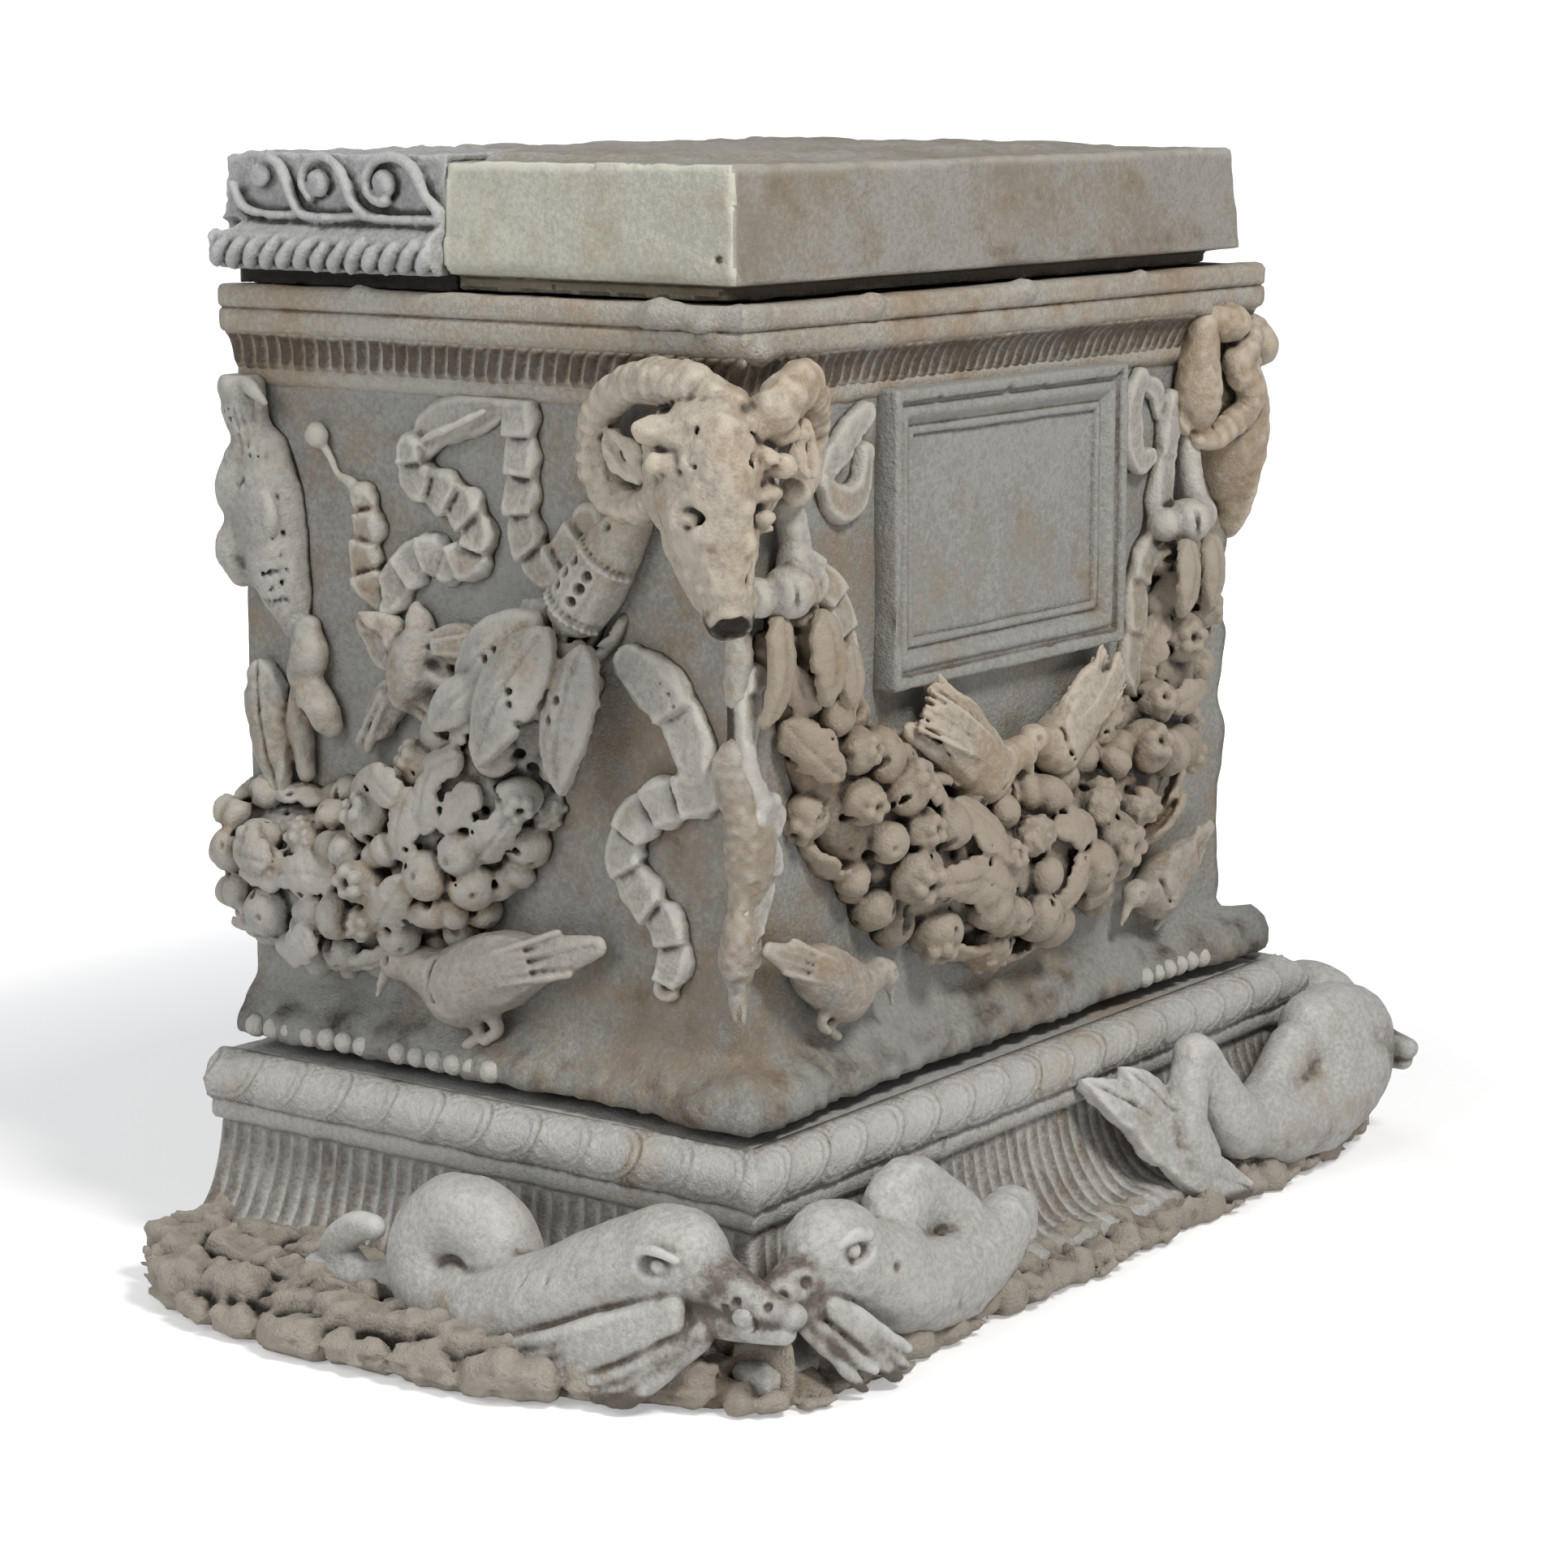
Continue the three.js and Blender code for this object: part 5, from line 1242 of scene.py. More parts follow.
def fruit_garland(line, seed, press, kinds, sizes, gap, low, high, step):
    """A thick bundle along the line (along, up, radius), packed with fruit and leaves, drilled between."""
    dice = np.random.default_rng(seed)
    stops = np.array([(a, 1.0, v, r) for a, v, r in line])
    clay = Carving(low, high, step)
    path = smooth_line(stops, 3.0)
    clay.tube((path * (1, 1, 1, 0.78))[::2], 1.0, flat=(1, press), spacing=6.0)
    taken, spots = [], np.full((1, 3), 1e6)
    for _ in range(TRIES):
        i = int(dice.integers(1, len(path) - 1))
        ahead = path[i + 1, :3] - path[i - 1, :3]
        ahead /= np.linalg.norm(ahead)
        side = np.array((-ahead[2], 0.0, ahead[0]))
        angle = dice.uniform(-0.05, pi + 0.05)
        radius = path[i, 3]
        normal = side * cos(angle) + np.array((0, 1.0, 0)) * sin(angle)
        spot = path[i, :3] + (side * cos(angle) + np.array((0, press, 0)) * sin(angle)) * radius * 0.82
        scale = min(1.0, 0.5 + radius / 55)
        if spot[1] < 0 or np.linalg.norm(spots - spot, axis=1).min() < gap * scale:
            continue
        taken.append((spot, normal, ahead, scale))
        spots = np.vstack([spots, spot])
    for spot, normal, ahead, scale in taken:
        kind = dice.choice(list(kinds), p=list(kinds.values()))
        size = dice.uniform(*sizes) * scale
        hint = ahead + 0.8 * dice.uniform(-1, 1) * np.cross(normal, ahead)
        if kind == "leaf":
            first, _, out = frame_of(normal, hint if dice.random() < 0.5 else -hint)
            root = spot - first * size * 1.5 + out * 1.5
            blade(clay, root, spot + first * size * 1.9 + out * 3.5, out, size * 0.95, 2.2, 0.12, 3)
        else:
            fruit(clay, spot + normal * 0.8, normal, hint, kind, size, dice)
    for spot, normal, ahead, scale in taken:
        for hand in (-1, 1):
            aside = frame_of(normal, ahead)[1] * gap * 0.52 * hand + ahead * dice.uniform(-5, 5)
            clay.lump(
                spot + aside * scale - normal * 0.5, (2.1, 2.1, 7.0), frame_of(normal, ahead), 0.6, True
            )
    return clay


side_line = [
    (76, 200, 15), (88, 184, 20), (100, 166, 27), (114, 142, 33), (130, 118, 38), (149, 98, 42),
    (172, 84, 43), (196, 75, 43), (220, 71, 41), (240, 75, 38), (256, 82, 35), (268, 88, 32)
]
SIDE_KINDS = {"berry": 0.50, "acorn": 0.14, "cone": 0.08, "poppy": 0.10, "flower": 0.06, "leaf": 0.12}
side_garland = fruit_garland(
    side_line, 81, 0.8, SIDE_KINDS, (7.4, 11.6), 15.5, (44, -3, 20), (264, 46, 216), 1.15
)
# Broad smooth leaves where the garland hangs from its binding, drilled in pairs and rows.
for root, tip, width, curl in (
    ((84, 20, 200), (128, 18, 166), 13, 0.2), ((78, 22, 196), (106, 34, 138), 15, 0.14),
    ((62, 18, 190), (71, 24, 128), 13, 0.13), ((108, 26, 174), (134, 30, 150), 10, 0.15)
):
    blade(side_garland, root, tip, (0, 1, 0), width, 3.2, curl, 0, 1.5, 0.0)
for root, tip, width in (
    ((196, 38, 58), (214, 33, 42), 9), ((222, 36, 84), (248, 30, 90), 10),
    ((150, 34, 118), (168, 30, 132), 9)
):
    blade(side_garland, root, tip, (0, 1, 0), width, 2.2, 0.12, 3)
for a, v in (
    (87, 171), (86, 166), (83, 158), (81, 152), (78, 143), (76, 137), (104, 182), (100, 186), (72, 160),
    (69, 168)
):
    side_garland.lump((a, 34, v), (1.7, 12, 1.7), blend=0.4, cut=True)
side_garland.weather((5.0, 0.45, 82), (2.2, 0.2, 80))
side_garland.keep_inside((40, -2, 20), (263.6, 43, 220))
for word in ("left", "right"):
    side_garland.skin("garland_" + word, relief_marble, "chest_body", on_wall(word), wall_stone, 5.0)

front_line = [
    (26, 214, 12), (29, 196, 16), (36, 172, 20), (48, 148, 26), (66, 125, 31), (92, 104, 35), (122, 88, 38),
    (156, 77, 40), (188, 72, 40), (220, 74, 40), (252, 82, 38), (282, 97, 35), (306, 118, 31),
    (324, 144, 27), (330, 168, 22), (330, 188, 17), (328, 208, 13)
]
FRONT_KINDS = {"berry": 0.28, "acorn": 0.20, "cone": 0.13, "poppy": 0.14, "flower": 0.06, "leaf": 0.19}
front_garland = fruit_garland(
    front_line, 83, 0.66, FRONT_KINDS, (8.4, 13.0), 18.0, (-4, -3, 26), (380, 38, 240), 1.32
)
for root, tip, width, curl in (
    ((8, 14, 206), (0, 12, 160), 10, 0.12), ((28, 20, 206), (28, 22, 166), 11, 0.12),
    ((314, 20, 206), (305, 22, 170), 9, 0.12), ((335, 20, 206), (333, 20, 170), 9, 0.12),
    ((46, 20, 190), (44, 22, 164), 8, 0.12)
):
    blade(front_garland, root, tip, (0, 1, 0), width, 3.0, curl, 0, 1.5, 0.0)
for a, v in ((17, 200), (16, 190), (18, 180), (15, 172), (323, 200), (322, 190), (321, 180)):
    front_garland.lump((a, 26, v), (1.9, 12, 1.9), blend=0.4, cut=True)
front_garland.weather((5.0, 0.5, 84), (2.2, 0.2, 79))
front_garland.keep_inside((-2, -2, 22), (378, 37, 240))
front_garland.skin("garland_front", front_marble, "chest_body", on_wall("front"), wall_stone, 5.0)


def side_ribbons():
    """The straight band, the looped band and the thin string that flutter on a side wall."""
    clay = Carving((60, -3, 186), (228, 22, 290), 0.9)
    strip(
        clay,
        [
            (108, 288, 8.5), (107, 271, 8.5), (106, 255, 8.5), (107, 240, 8.5), (103, 225, 9), (94, 217, 9),
            (84, 223, 9), (72, 236, 9)
        ],
        6, 17, 4.5, 0.05, 1
    )
    strip(clay, [(116, 282, 6.5), (134, 277, 9), (152, 272, 9), (164, 258, 7)], 4, 60, 2.5, 0.0, 3)
    clay.tube([(122, 9, 279, 1.6), (138, 11, 272, 2.0), (154, 10, 266, 1.4)], 2.5)
    strip(
        clay,
        [
            (164, 260, 7.5), (162, 250, 9), (150, 245, 9.5), (138, 239, 9.5), (130, 228, 9),
            (133, 218, 8.5), (146, 215, 8.5)
        ],
        7, 15, 4.5, -0.15, 2
    )
    strip(
        clay,
        [
            (146, 215, 8.5), (160, 218, 8.5), (171, 208, 9), (181, 199, 9), (191, 206, 8.5), (192, 219, 8),
            (190, 231, 7.5), (193, 240, 5)
        ],
        6, 14, 4.5, 0.1, 5
    )
    clay.tube(
        [
            (194, 5, 238, 3.5), (200, 4, 245, 2.2), (208, 3, 248, 1.4), (213, 3, 256, 1.3),
            (217, 4, 262, 1.6)
        ],
        1.5
    )
    clay.lump((218, 5, 264), (5.5, 4.5, 5.5), blend=1.5)
    clay.weather((7.0, 0.5, 85), (2.4, 0.25, 78))
    clay.keep_inside((60, -2, 186), (228, 21, 284.5))
    return clay


def side_binding():
    """The cloth that ties the garland's end under the ram's horn: a smooth cone, then a drilled band."""
    clay = Carving((26, -3, 178), (104, 40, 262), 0.9)
    ahead, across = np.array((0.6, 0.0, -0.8)), np.array((0.8, 0.0, 0.6))
    top = np.array((43.0, 9.0, 244.0))

    def hoop(walk, radius, angle, lift=1.0):
        spot = (
            top + ahead * walk + (across * cos(angle) + np.array((0, 0.92, 0)) * sin(angle)) * radius * lift
        )
        return tuple(spot)

    clay.tube(
        [(*(top - ahead * 4), 6.5), (*(top + ahead * 8), 10), (*(top + ahead * 22), 12.5)], 1.0,
        flat=(1, 0.92)
    )
    clay.tube(
        [(*(top + ahead * 30), 13.5), (*(top + ahead * 42), 14.5), (*(top + ahead * 50), 13.5)], 1.0,
        flat=(1, 0.92)
    )
    for walk, radius in ((25, 12.8), (53, 13.6)):
        for angle in np.linspace(0.1, pi - 0.1, 13):
            clay.lump(hoop(walk, radius, angle), (1.7, 1.9, 1.7), blend=0.8)
            clay.lump(hoop(walk - 2.2, radius, angle + 0.11, 1.02), (1.3, 1.8, 1.3), blend=0.4, cut=True)
    for angle in (1.0, 1.75):
        for walk in (31, 37.5, 44):
            clay.lump(hoop(walk, 14.2, angle), (2.4, 3.4, 2.4), blend=0.5, cut=True)
    for angle in (0.6, 1.38, 2.15):
        clay.tube([(*hoop(28 + 8 * i, 14.4, angle, 1.02), 0.9) for i in range(4)], 1.0, True)
    clay.lump(hoop(10, 11.5, 1.3), (2.2, 3.2, 2.2), blend=0.5, cut=True)
    clay.weather((6.0, 0.5, 86), (2.4, 0.2, 77))
    return clay


def side_end():
    """The band's end that trails below the binding: one twist with a saw edge, then a ragged tongue."""
    clay = Carving((-2, -3, 20), (74, 26, 190), 0.9)
    strip(
        clay, [(50, 182, 9), (40, 176, 11), (28, 166, 11), (20, 152, 10), (17, 142, 8)], 7, 44, 5.0, 0.4, 7
    )
    strip(
        clay, [(12, 134, 9), (24, 130, 10), (40, 124, 10), (50, 114, 9), (54, 102, 9), (48, 90, 9)], 7, 17,
        4.5, 0.1, 8
    )
    strip(clay, [(48, 92, 8), (40, 82, 9), (32, 74, 9), (30, 62, 8), (34, 50, 6)], 6, 15, 4.5, 0.1, 4)
    for a, v in ((32, 176), (28, 172), (25, 167), (22, 162), (44, 184), (40, 181)):
        clay.lump((a, 13, v), (1.5, 5, 1.5), blend=0.4, cut=True)
    for a, v in ((44, 92), (36, 88), (28, 84)):
        clay.lump((a, 12, v), (1.5, 4, 1.5), blend=0.4, cut=True)
    clay.weather((7.0, 0.5, 95), (2.4, 0.25, 76))
    return clay


ribbons, binding, trailing = side_ribbons(), side_binding(), side_end()
for word in ("left", "right"):
    ribbons.skin("ribbons_" + word, ribbon_marble, "chest_body", on_wall(word), wall_stone, 4.0)
    binding.skin("garland_binding_" + word, ribbon_marble, "chest_body", on_wall(word), wall_stone, 4.0)
    trailing.skin("corner_band_" + word, ribbon_marble, "chest_body", on_wall(word), wall_stone, 4.0)


def front_ribbons():
    """On the front: a bow on each side of the panel, the ties of the garland's ends and hanging bands."""
    clay = Carving((-8, -3, 60), (380, 34, 290), 1.0)
    # Left bow: a broad loop folded back on itself, with an open middle.
    strip(clay, [(80, 279, 6), (68, 271, 8), (56, 260, 6.5), (50, 253, 4)], 6, 90, 2.0, 0.0, 3)
    strip(
        clay, [(51, 253, 4), (60, 245, 7), (71, 243, 7.5), (79, 250, 6), (81, 262, 5)], 6, 90, 2.5, 0.0, 4
    )
    strip(
        clay, [(297, 278, 6), (290, 268, 7), (290, 253, 7), (296, 241, 6), (306, 243, 5)], 6, 90, 2.5, 0.0,
        9
    )
    strip(clay, [(302, 276, 5), (312, 272, 6), (316, 262, 5)], 5, 90, 2.0, 0.0, 10)
    # Band beside the left garland, down its inner edge.
    strip(
        clay, [(38, 222, 6), (52, 212, 7), (60, 198, 7.5), (64, 182, 7), (58, 168, 6)], 8, 15, 4.0, 0.2, 5
    )
    # Long bands that hang at the right: from the bow beside the panel down to the garland.
    strip(
        clay, [(325, 266, 6), (320, 247, 7), (317, 228, 8), (314, 212, 8), (306, 198, 7.5)], 7, 40, 2.5,
        0.0, 6
    )
    strip(
        clay, [(306, 200, 7), (297, 186, 7.5), (295, 168, 8), (291, 150, 7), (294, 138, 5)], 6, 26, 3.0,
        0.1, 11
    )
    clay.tube([(336, 6, 250, 5), (335, 9, 236, 5.5), (334, 12, 222, 6)], 1.5)
    clay.tube([(22, 8, 246, 6), (24, 10, 232, 6.5), (22, 12, 222, 8)], 1.5)
    # Ties round the garland's ends.
    for middle, level, half in ((16, 214, 20), (326, 213, 17)):
        for share, size in ((-0.8, 8.5), (-0.15, 11), (0.6, 10)):
            clay.lump(
                (middle + half * share, 15 - 9 * share**2, level + 2 * share), (size, size, size * 0.95),
                blend=2.0
            )
        for groove in (-0.45, 0.1, 0.6):
            a = middle + half * groove
            clay.tube(
                [
                    (a - 1, 26 - 9 * abs(groove), level + 9, 1.0), (a, 27 - 9 * abs(groove), level, 1.2),
                    (a + 1, 26 - 9 * abs(groove), level - 9, 1.0)
                ],
                1.0, True
            )
    # Bits of the corner band: a knot and a rosette worn to a lump.
    strip(clay, [(4, 180, 6), (0, 164, 7), (-3, 152, 5)], 6, 30, 3.5, 0.3, 12)
    clay.tube([(-3, 5, 152, 4), (-1, 6, 142, 4.5), (2, 6, 134, 6)], 2.0)
    clay.lump((6, 6, 124), (11, 7, 10), blend=3.0)
    for turn in np.arange(7) * pi / 3:
        clay.lump((6 + 6 * cos(turn), 10, 124 + 6 * sin(turn)), (4.5, 3.5, 4.5), blend=1.5)
    strip(clay, [(8, 118, 5), (12, 106, 8), (8, 92, 9), (0, 80, 7), (4, 66, 5)], 6, 24, 4.0, 0.3, 13)
    clay.weather((7.0, 0.5, 87), (2.4, 0.25, 75))
    clay.keep_inside((-6, -2, 60), (378, 33, 284.5))
    return clay


front_ribbons().skin("ribbons_front", ribbon_marble, "chest_body", on_wall("front"), wall_stone, 4.0)
# A ram's head leans from each front corner. Ringed horns curl back along both walls, with an ear in
# each curl, and lumpy wool crosses the brow. The left one has lost its nose and the right one its face.
ram_marble = marble(
    "ram_marble", (0.50, 0.44, 0.36), (0.46, 0.335, 0.21), (0.04, 0.03, 0.02), 0.95, 0.6, 0.46, 11.0, 0.8
)
DIAGONAL = 0.5**0.5
RING_PITCH, RING_SWELL = 6.8, 0.34


def from_side_wall(along, out, level):
    """A place on the left wall, in the ram's own axes: across, outwards, level."""
    return -(along + out) * DIAGONAL, (out - along) * DIAGONAL, level


def from_front_wall(along, out, level):
    """A place on the front wall, in the ram's own axes."""
    return (along + out) * DIAGONAL, (out - along) * DIAGONAL, level


def rings(walked):
    """Swells a horn into rings."""
    return 1.1 + RING_SWELL * (np.abs(np.cos(pi * walked / RING_PITCH)) ** 0.6 - 0.6)


def ram_horns(clay, side_horn, front_horn, side_ear, front_ear):
    """Both horns and the leaf-shaped ear inside each curl, from stops (along, out, level, radius)."""
    for on_wall_axes, horn, ear in (
        (from_side_wall, side_horn, side_ear), (from_front_wall, front_horn, front_ear)
    ):
        clay.tube([(*on_wall_axes(a, w, z), r) for a, w, z, r in horn], 1.2, spacing=1.0, swell=rings)
        outward = np.array(on_wall_axes(0, 1, 0)) * (1, 1, 0)
        root, tip, width = np.array(on_wall_axes(*ear[0])), np.array(on_wall_axes(*ear[1])), ear[2]
        blade(clay, root, tip, outward, width, 3.4, 0.10, 0, 1.5, 0.0)
        clay.tube(
            [
                (*(root + (tip - root) * s + outward * (6.4 - 2 * s)), 2.2 - 1.2 * s)
                for s in (0.12, 0.4, 0.65, 0.9)
            ],
            1.4, True
        )


def wool(clay, level, middle, reach, out, count, size):
    """One row of worn curls across the brow."""
    for i in range(count):
        share = (i + 0.5) / count * 2 - 1
        lift = 1.6 * sin(3.7 * i)
        spot = np.array(
            (middle + share * reach, out - 9 * share**2 + 0.8 * cos(2.9 * i), level + lift - 1.5 * share**2)
        )
        clay.lump(spot, (size * (1.25 + 0.2 * sin(5.1 * i)), size * 0.75, size * 0.9), blend=3.0)
        clay.tube(
            [
                (*(spot + (0.5 * size * cos(a), size * 0.9, 0.5 * size * sin(a))), 0.9)
                for a in np.linspace(i, i + 4.0, 6)
            ],
            1.2, True
        )


def whole_ram():
    """The left ram: a wedge of skull that narrows to a broken muzzle, sunken eyes, a rugged worn face."""
    clay = Carving((-76, -50, 284), (54, 66, 408), 0.8)
    clay.lump((-12, 8, 358), (27, 24, 34), blend=4.0)
    clay.lump((-13, 20, 368), (25, 22, 20), blend=4.0)
    face = [
        (-13, 26, 374, 20), (-13.5, 29, 358, 21.5), (-14.5, 31, 344, 19.5), (-13.5, 34, 330, 16.0),
        (-11.5, 37, 317, 12.2), (-10, 39, 306, 9.4)
    ]
    clay.tube(face, 3.0)
    clay.tube(
        [
            (-12, 43, 374, 9), (-11.5, 45.5, 356, 9.5), (-11, 47, 340, 8.5), (-10.5, 47.5, 325, 7),
            (-10, 47, 310, 6.5)
        ],
        10.0
    )
    clay.lump((-25, 27, 352), (9.5, 12, 9), blend=3.0)
    clay.lump((3, 27, 350), (7.5, 12, 9), blend=3.0)
    clay.tube([(-27, 22, 344, 8), (-24, 27, 332, 8.5), (-19, 31, 320, 7)], 3.0)
    # Broken nose: a black pit, chipped round its rim.
    clay.lump((-9, 52, 300), (11, 9, 7), blend=1.5, cut=True)
    clay.lump((-8.5, 49, 302), (6.2, 6.5, 4.6), blend=3.0, cut=True)
    # Eyes: a deep corner towards the nose, a worn ball and a rough brow ridge above it.
    for hand, side, level in ((-1, -23.5, 345), (1, 3.5, 345)):
        clay.lump((side, 46.5, level), (6.5, 3.2, 3.4), blend=5.0, cut=True)
        clay.lump((side, 43.2, level - 0.5), (5.6, 4.2, 3.4), blend=1.2)
        clay.tube(
            [
                (side + hand * 6, 30, level + 7, 3.2), (side, 40, level + 8.0, 3.6),
                (side - hand * 8, 46.5, level + 4, 2.6)
            ],
            2.0
        )
        clay.tube([(side + hand * 4, 36, level - 5.5, 1.6), (side - hand * 3, 42, level - 5, 1.6)], 1.2)
        clay.tube(
            [
                (side + hand * 3, 39, level - 10, 1.0), (side - hand * 5, 46, level - 15, 1.3),
                (side - hand * 7, 48, level - 24, 1.0)
            ],
            1.5, True
        )
    clay.tube([(-30, 24, 362, 3.5), (-33, 18, 352, 3.5), (-31, 18, 342, 3)], 2.0)
    for a, o, v, r in (
        (-17, 49, 331, 5), (-6, 52, 335, 5.5), (-12, 50, 321, 4.5), (-5, 48, 317, 4), (-18, 45, 318, 4)
    ):
        clay.lump((a, o, v), (r, 3.0, r * 0.9), blend=2.5)
    wool(clay, 378, -13, 28, 37, 6, 7.6)
    wool(clay, 366, -12, 26, 43, 9, 5.2)
    ram_horns(
        clay,
        [
            (-14, 30, 383, 8.2), (-6, 31, 390, 8.2), (7, 30, 393.5, 7.8), (23, 27, 393.5, 7.2),
            (38, 23, 390, 6.8), (51, 19, 382, 6.6), (58, 16, 372, 6.6), (60, 14, 361, 6.6),
            (57, 13, 351, 6.6), (49, 14, 345, 6.4), (37, 17, 343, 6.0), (24, 22, 347, 5.4),
            (14, 26, 353, 4.4)
        ],
        [
            (-16, 30, 384, 8.0), (-6, 31, 391, 8.0), (4, 28, 393, 7.4), (15, 23, 388, 6.8),
            (23, 18, 379, 6.4), (27, 15, 369, 6.2), (27, 13, 359, 6.0), (22, 14, 351, 5.6),
            (13, 18, 349, 4.6)
        ],
        ((28, 22, 353), (50, 19, 374), 8.5), ((6, 28, 355), (4, 26, 381), 7.5)
    )
    clay.weather((9.0, 1.2, 88), (4.0, 0.7, 89), (1.7, 0.15, 90))
    return clay


def broken_ram():
    """The right ram: the face has split off along a rough, nearly flat break behind the ears."""
    clay = Carving((-60, -44, 276), (52, 44, 408), 0.8)
    clay.lump((-6, 2, 350), (27, 26, 42), blend=4.0)
    clay.tube([(-6, 12, 372, 18), (-8, 14, 350, 20), (-8, 13, 328, 18), (-8, 8, 306, 13)], 4.0)
    slices, points = clay.window(clay.low, clay.low + clay.step * np.array(clay.shape))
    lean = (
        points[..., 1] - 22 + 0.006 * (points[..., 2] - 342) ** 2 - 2.2 * grain(points, 22.0, 98)
        - 0.8 * grain(points, 6.0, 99)
    )
    clay.merge(slices, -lean, 2.0, True)
    for across, out, level, size in ((2, 13, 377, 8), (6, 13, 365, 8), (-8, 14, 382, 8)):
        clay.lump((across, out, level), (size, size * 0.8, size * 0.75), blend=1.0)
    ram_horns(
        clay,
        [
            (-8, 22, 384, 8), (2, 21, 391, 8), (14, 20, 391, 7.4), (26, 17, 385, 7), (33, 14, 374, 6.6),
            (33, 12, 362, 6.2), (26, 13, 353, 5.6), (16, 16, 352, 4.6)
        ],
        [
            (4, 16, 388, 7), (14, 18, 377, 6.6), (8, 20, 366, 6.2), (9, 18, 356, 6), (20, 16, 349, 5.6),
            (32, 14, 345, 5), (40, 12, 344, 4)
        ],
        ((10, 17, 352), (22, 17, 378), 8), ((46, 8, 346), (40, 8, 362), 8)
    )
    # What is left of the brow on the front: rough lumps that climb to the cornice.
    brow = [
        (18, 15, 397, 9), (34, 12, 397, 7.5), (38, 11, 386, 8.5), (40, 12, 374, 10.5), (41, 12, 362, 10.5),
        (39, 10, 352, 7)
    ]
    clay.tube([(*from_front_wall(a, w, z), r) for a, w, z, r in brow], 2.0)
    clay.weather((9.0, 0.9, 100), (3.2, 0.4, 121))
    return clay


def on_corner(hand):
    """Moves a ram's own axes to the left (-1) or right (1) front corner."""

    def place(points):
        across, out, level = points[:, 0], points[:, 1], points[:, 2]
        x = -SIDE + (across - out) * DIAGONAL
        return np.stack([x if hand < 0 else -x, -FRONT - (across + out) * DIAGONAL, level], 1)

    return place


def corner_stone(across, out, level):
    """True inside the corner of the chest."""
    return out < -np.abs(across) + 0.5




CRUST_TOP, CRUST_FROM = 312.0, 38.0


def muzzle_crust(points):
    """Black crust on the broken nose."""
    below = np.clip((CRUST_TOP - points[:, 2]) / 9, 0, 1)
    return 0.75 * below * np.clip((points[:, 1] - CRUST_FROM) / 6, 0, 1)


whole_ram().skin("ram_head_left", ram_marble, "chest_body", on_corner(-1), corner_stone, 4.0, muzzle_crust)
broken_ram().skin("ram_head_right", ram_marble, "chest_body", on_corner(1), corner_stone, 4.0)

# The crest of the near corner. Below the left ram's nose a rough ridge of uncut marble was left
# standing on the chest's edge, between the ribbons of both walls.
crest = Carving((-208, -144, 100), (-168, -104, 306), 0.9)
crest_line = [
    (-188, -125, 302, 4), (-189, -126, 280, 5), (-189, -126, 252, 5), (-191, -128, 222, 6.5),
    (-190, -127, 190, 5.5), (-188, -125, 160, 5), (-186, -123, 134, 3)
]
crest.tube(crest_line, 2.0)
for x, y, z, size in ((-184, -131, 204, 8), (-194, -123, 236, 5), (-192, -126, 168, 5)):
    crest.lump((x, y, z), (size, size, size * 2.2), blend=8.0)
crest.weather((14.0, 1.5, 122), (2.8, 0.6, 123))


def near_corner_stone(x, y, z):
    """True inside the chest behind the crest."""
    return (x > -SIDE) & (y > -FRONT)


crest.skin("corner_crest", relief_marble, "chest_body", ground=near_corner_stone, reach=4.0)


# Birds perch and peck among the garlands. Each is a plump body with a folded or lifted wing and a tail
# of long feathers, all cut from the wall's stone and worn smooth.
bird_marble = marble(
    "bird_marble", (0.41, 0.38, 0.335), (0.41, 0.31, 0.21), (0.04, 0.03, 0.022), 0.9, 0.5, 0.5, 12.0, 0.8
)


def feathered(clay, root, tip, normal, width, thick, grooves):
    """A closed wing or tail: one smooth pointed form with shallow lines between its feathers."""
    blade(clay, root, tip, normal, width, thick, 0.07, 0, 3.0, 0.0)
    root, tip, normal = (np.array(v, float) for v in (root, tip, normal))
    across = np.cross(normal, tip - root)
    across /= np.linalg.norm(across)
    for i in range(grooves):
        aside = (i + 1) / (grooves + 1) * 2 - 1
        line = []
        for s in (0.22, 0.42, 0.62, 0.8, 0.98):
            lift = thick + 0.4 + 0.07 * np.linalg.norm(tip - root) * sin(pi * s)
            spread = aside * width * (0.35 + 0.65 * s)
            line.append(
                (
                    *(root + (tip - root) * s + across * spread + normal * (lift - 1.8 * s - 0.2)),
                    width * 0.75 / (grooves + 1)
                )
            )
        clay.tube(line, 0.8)


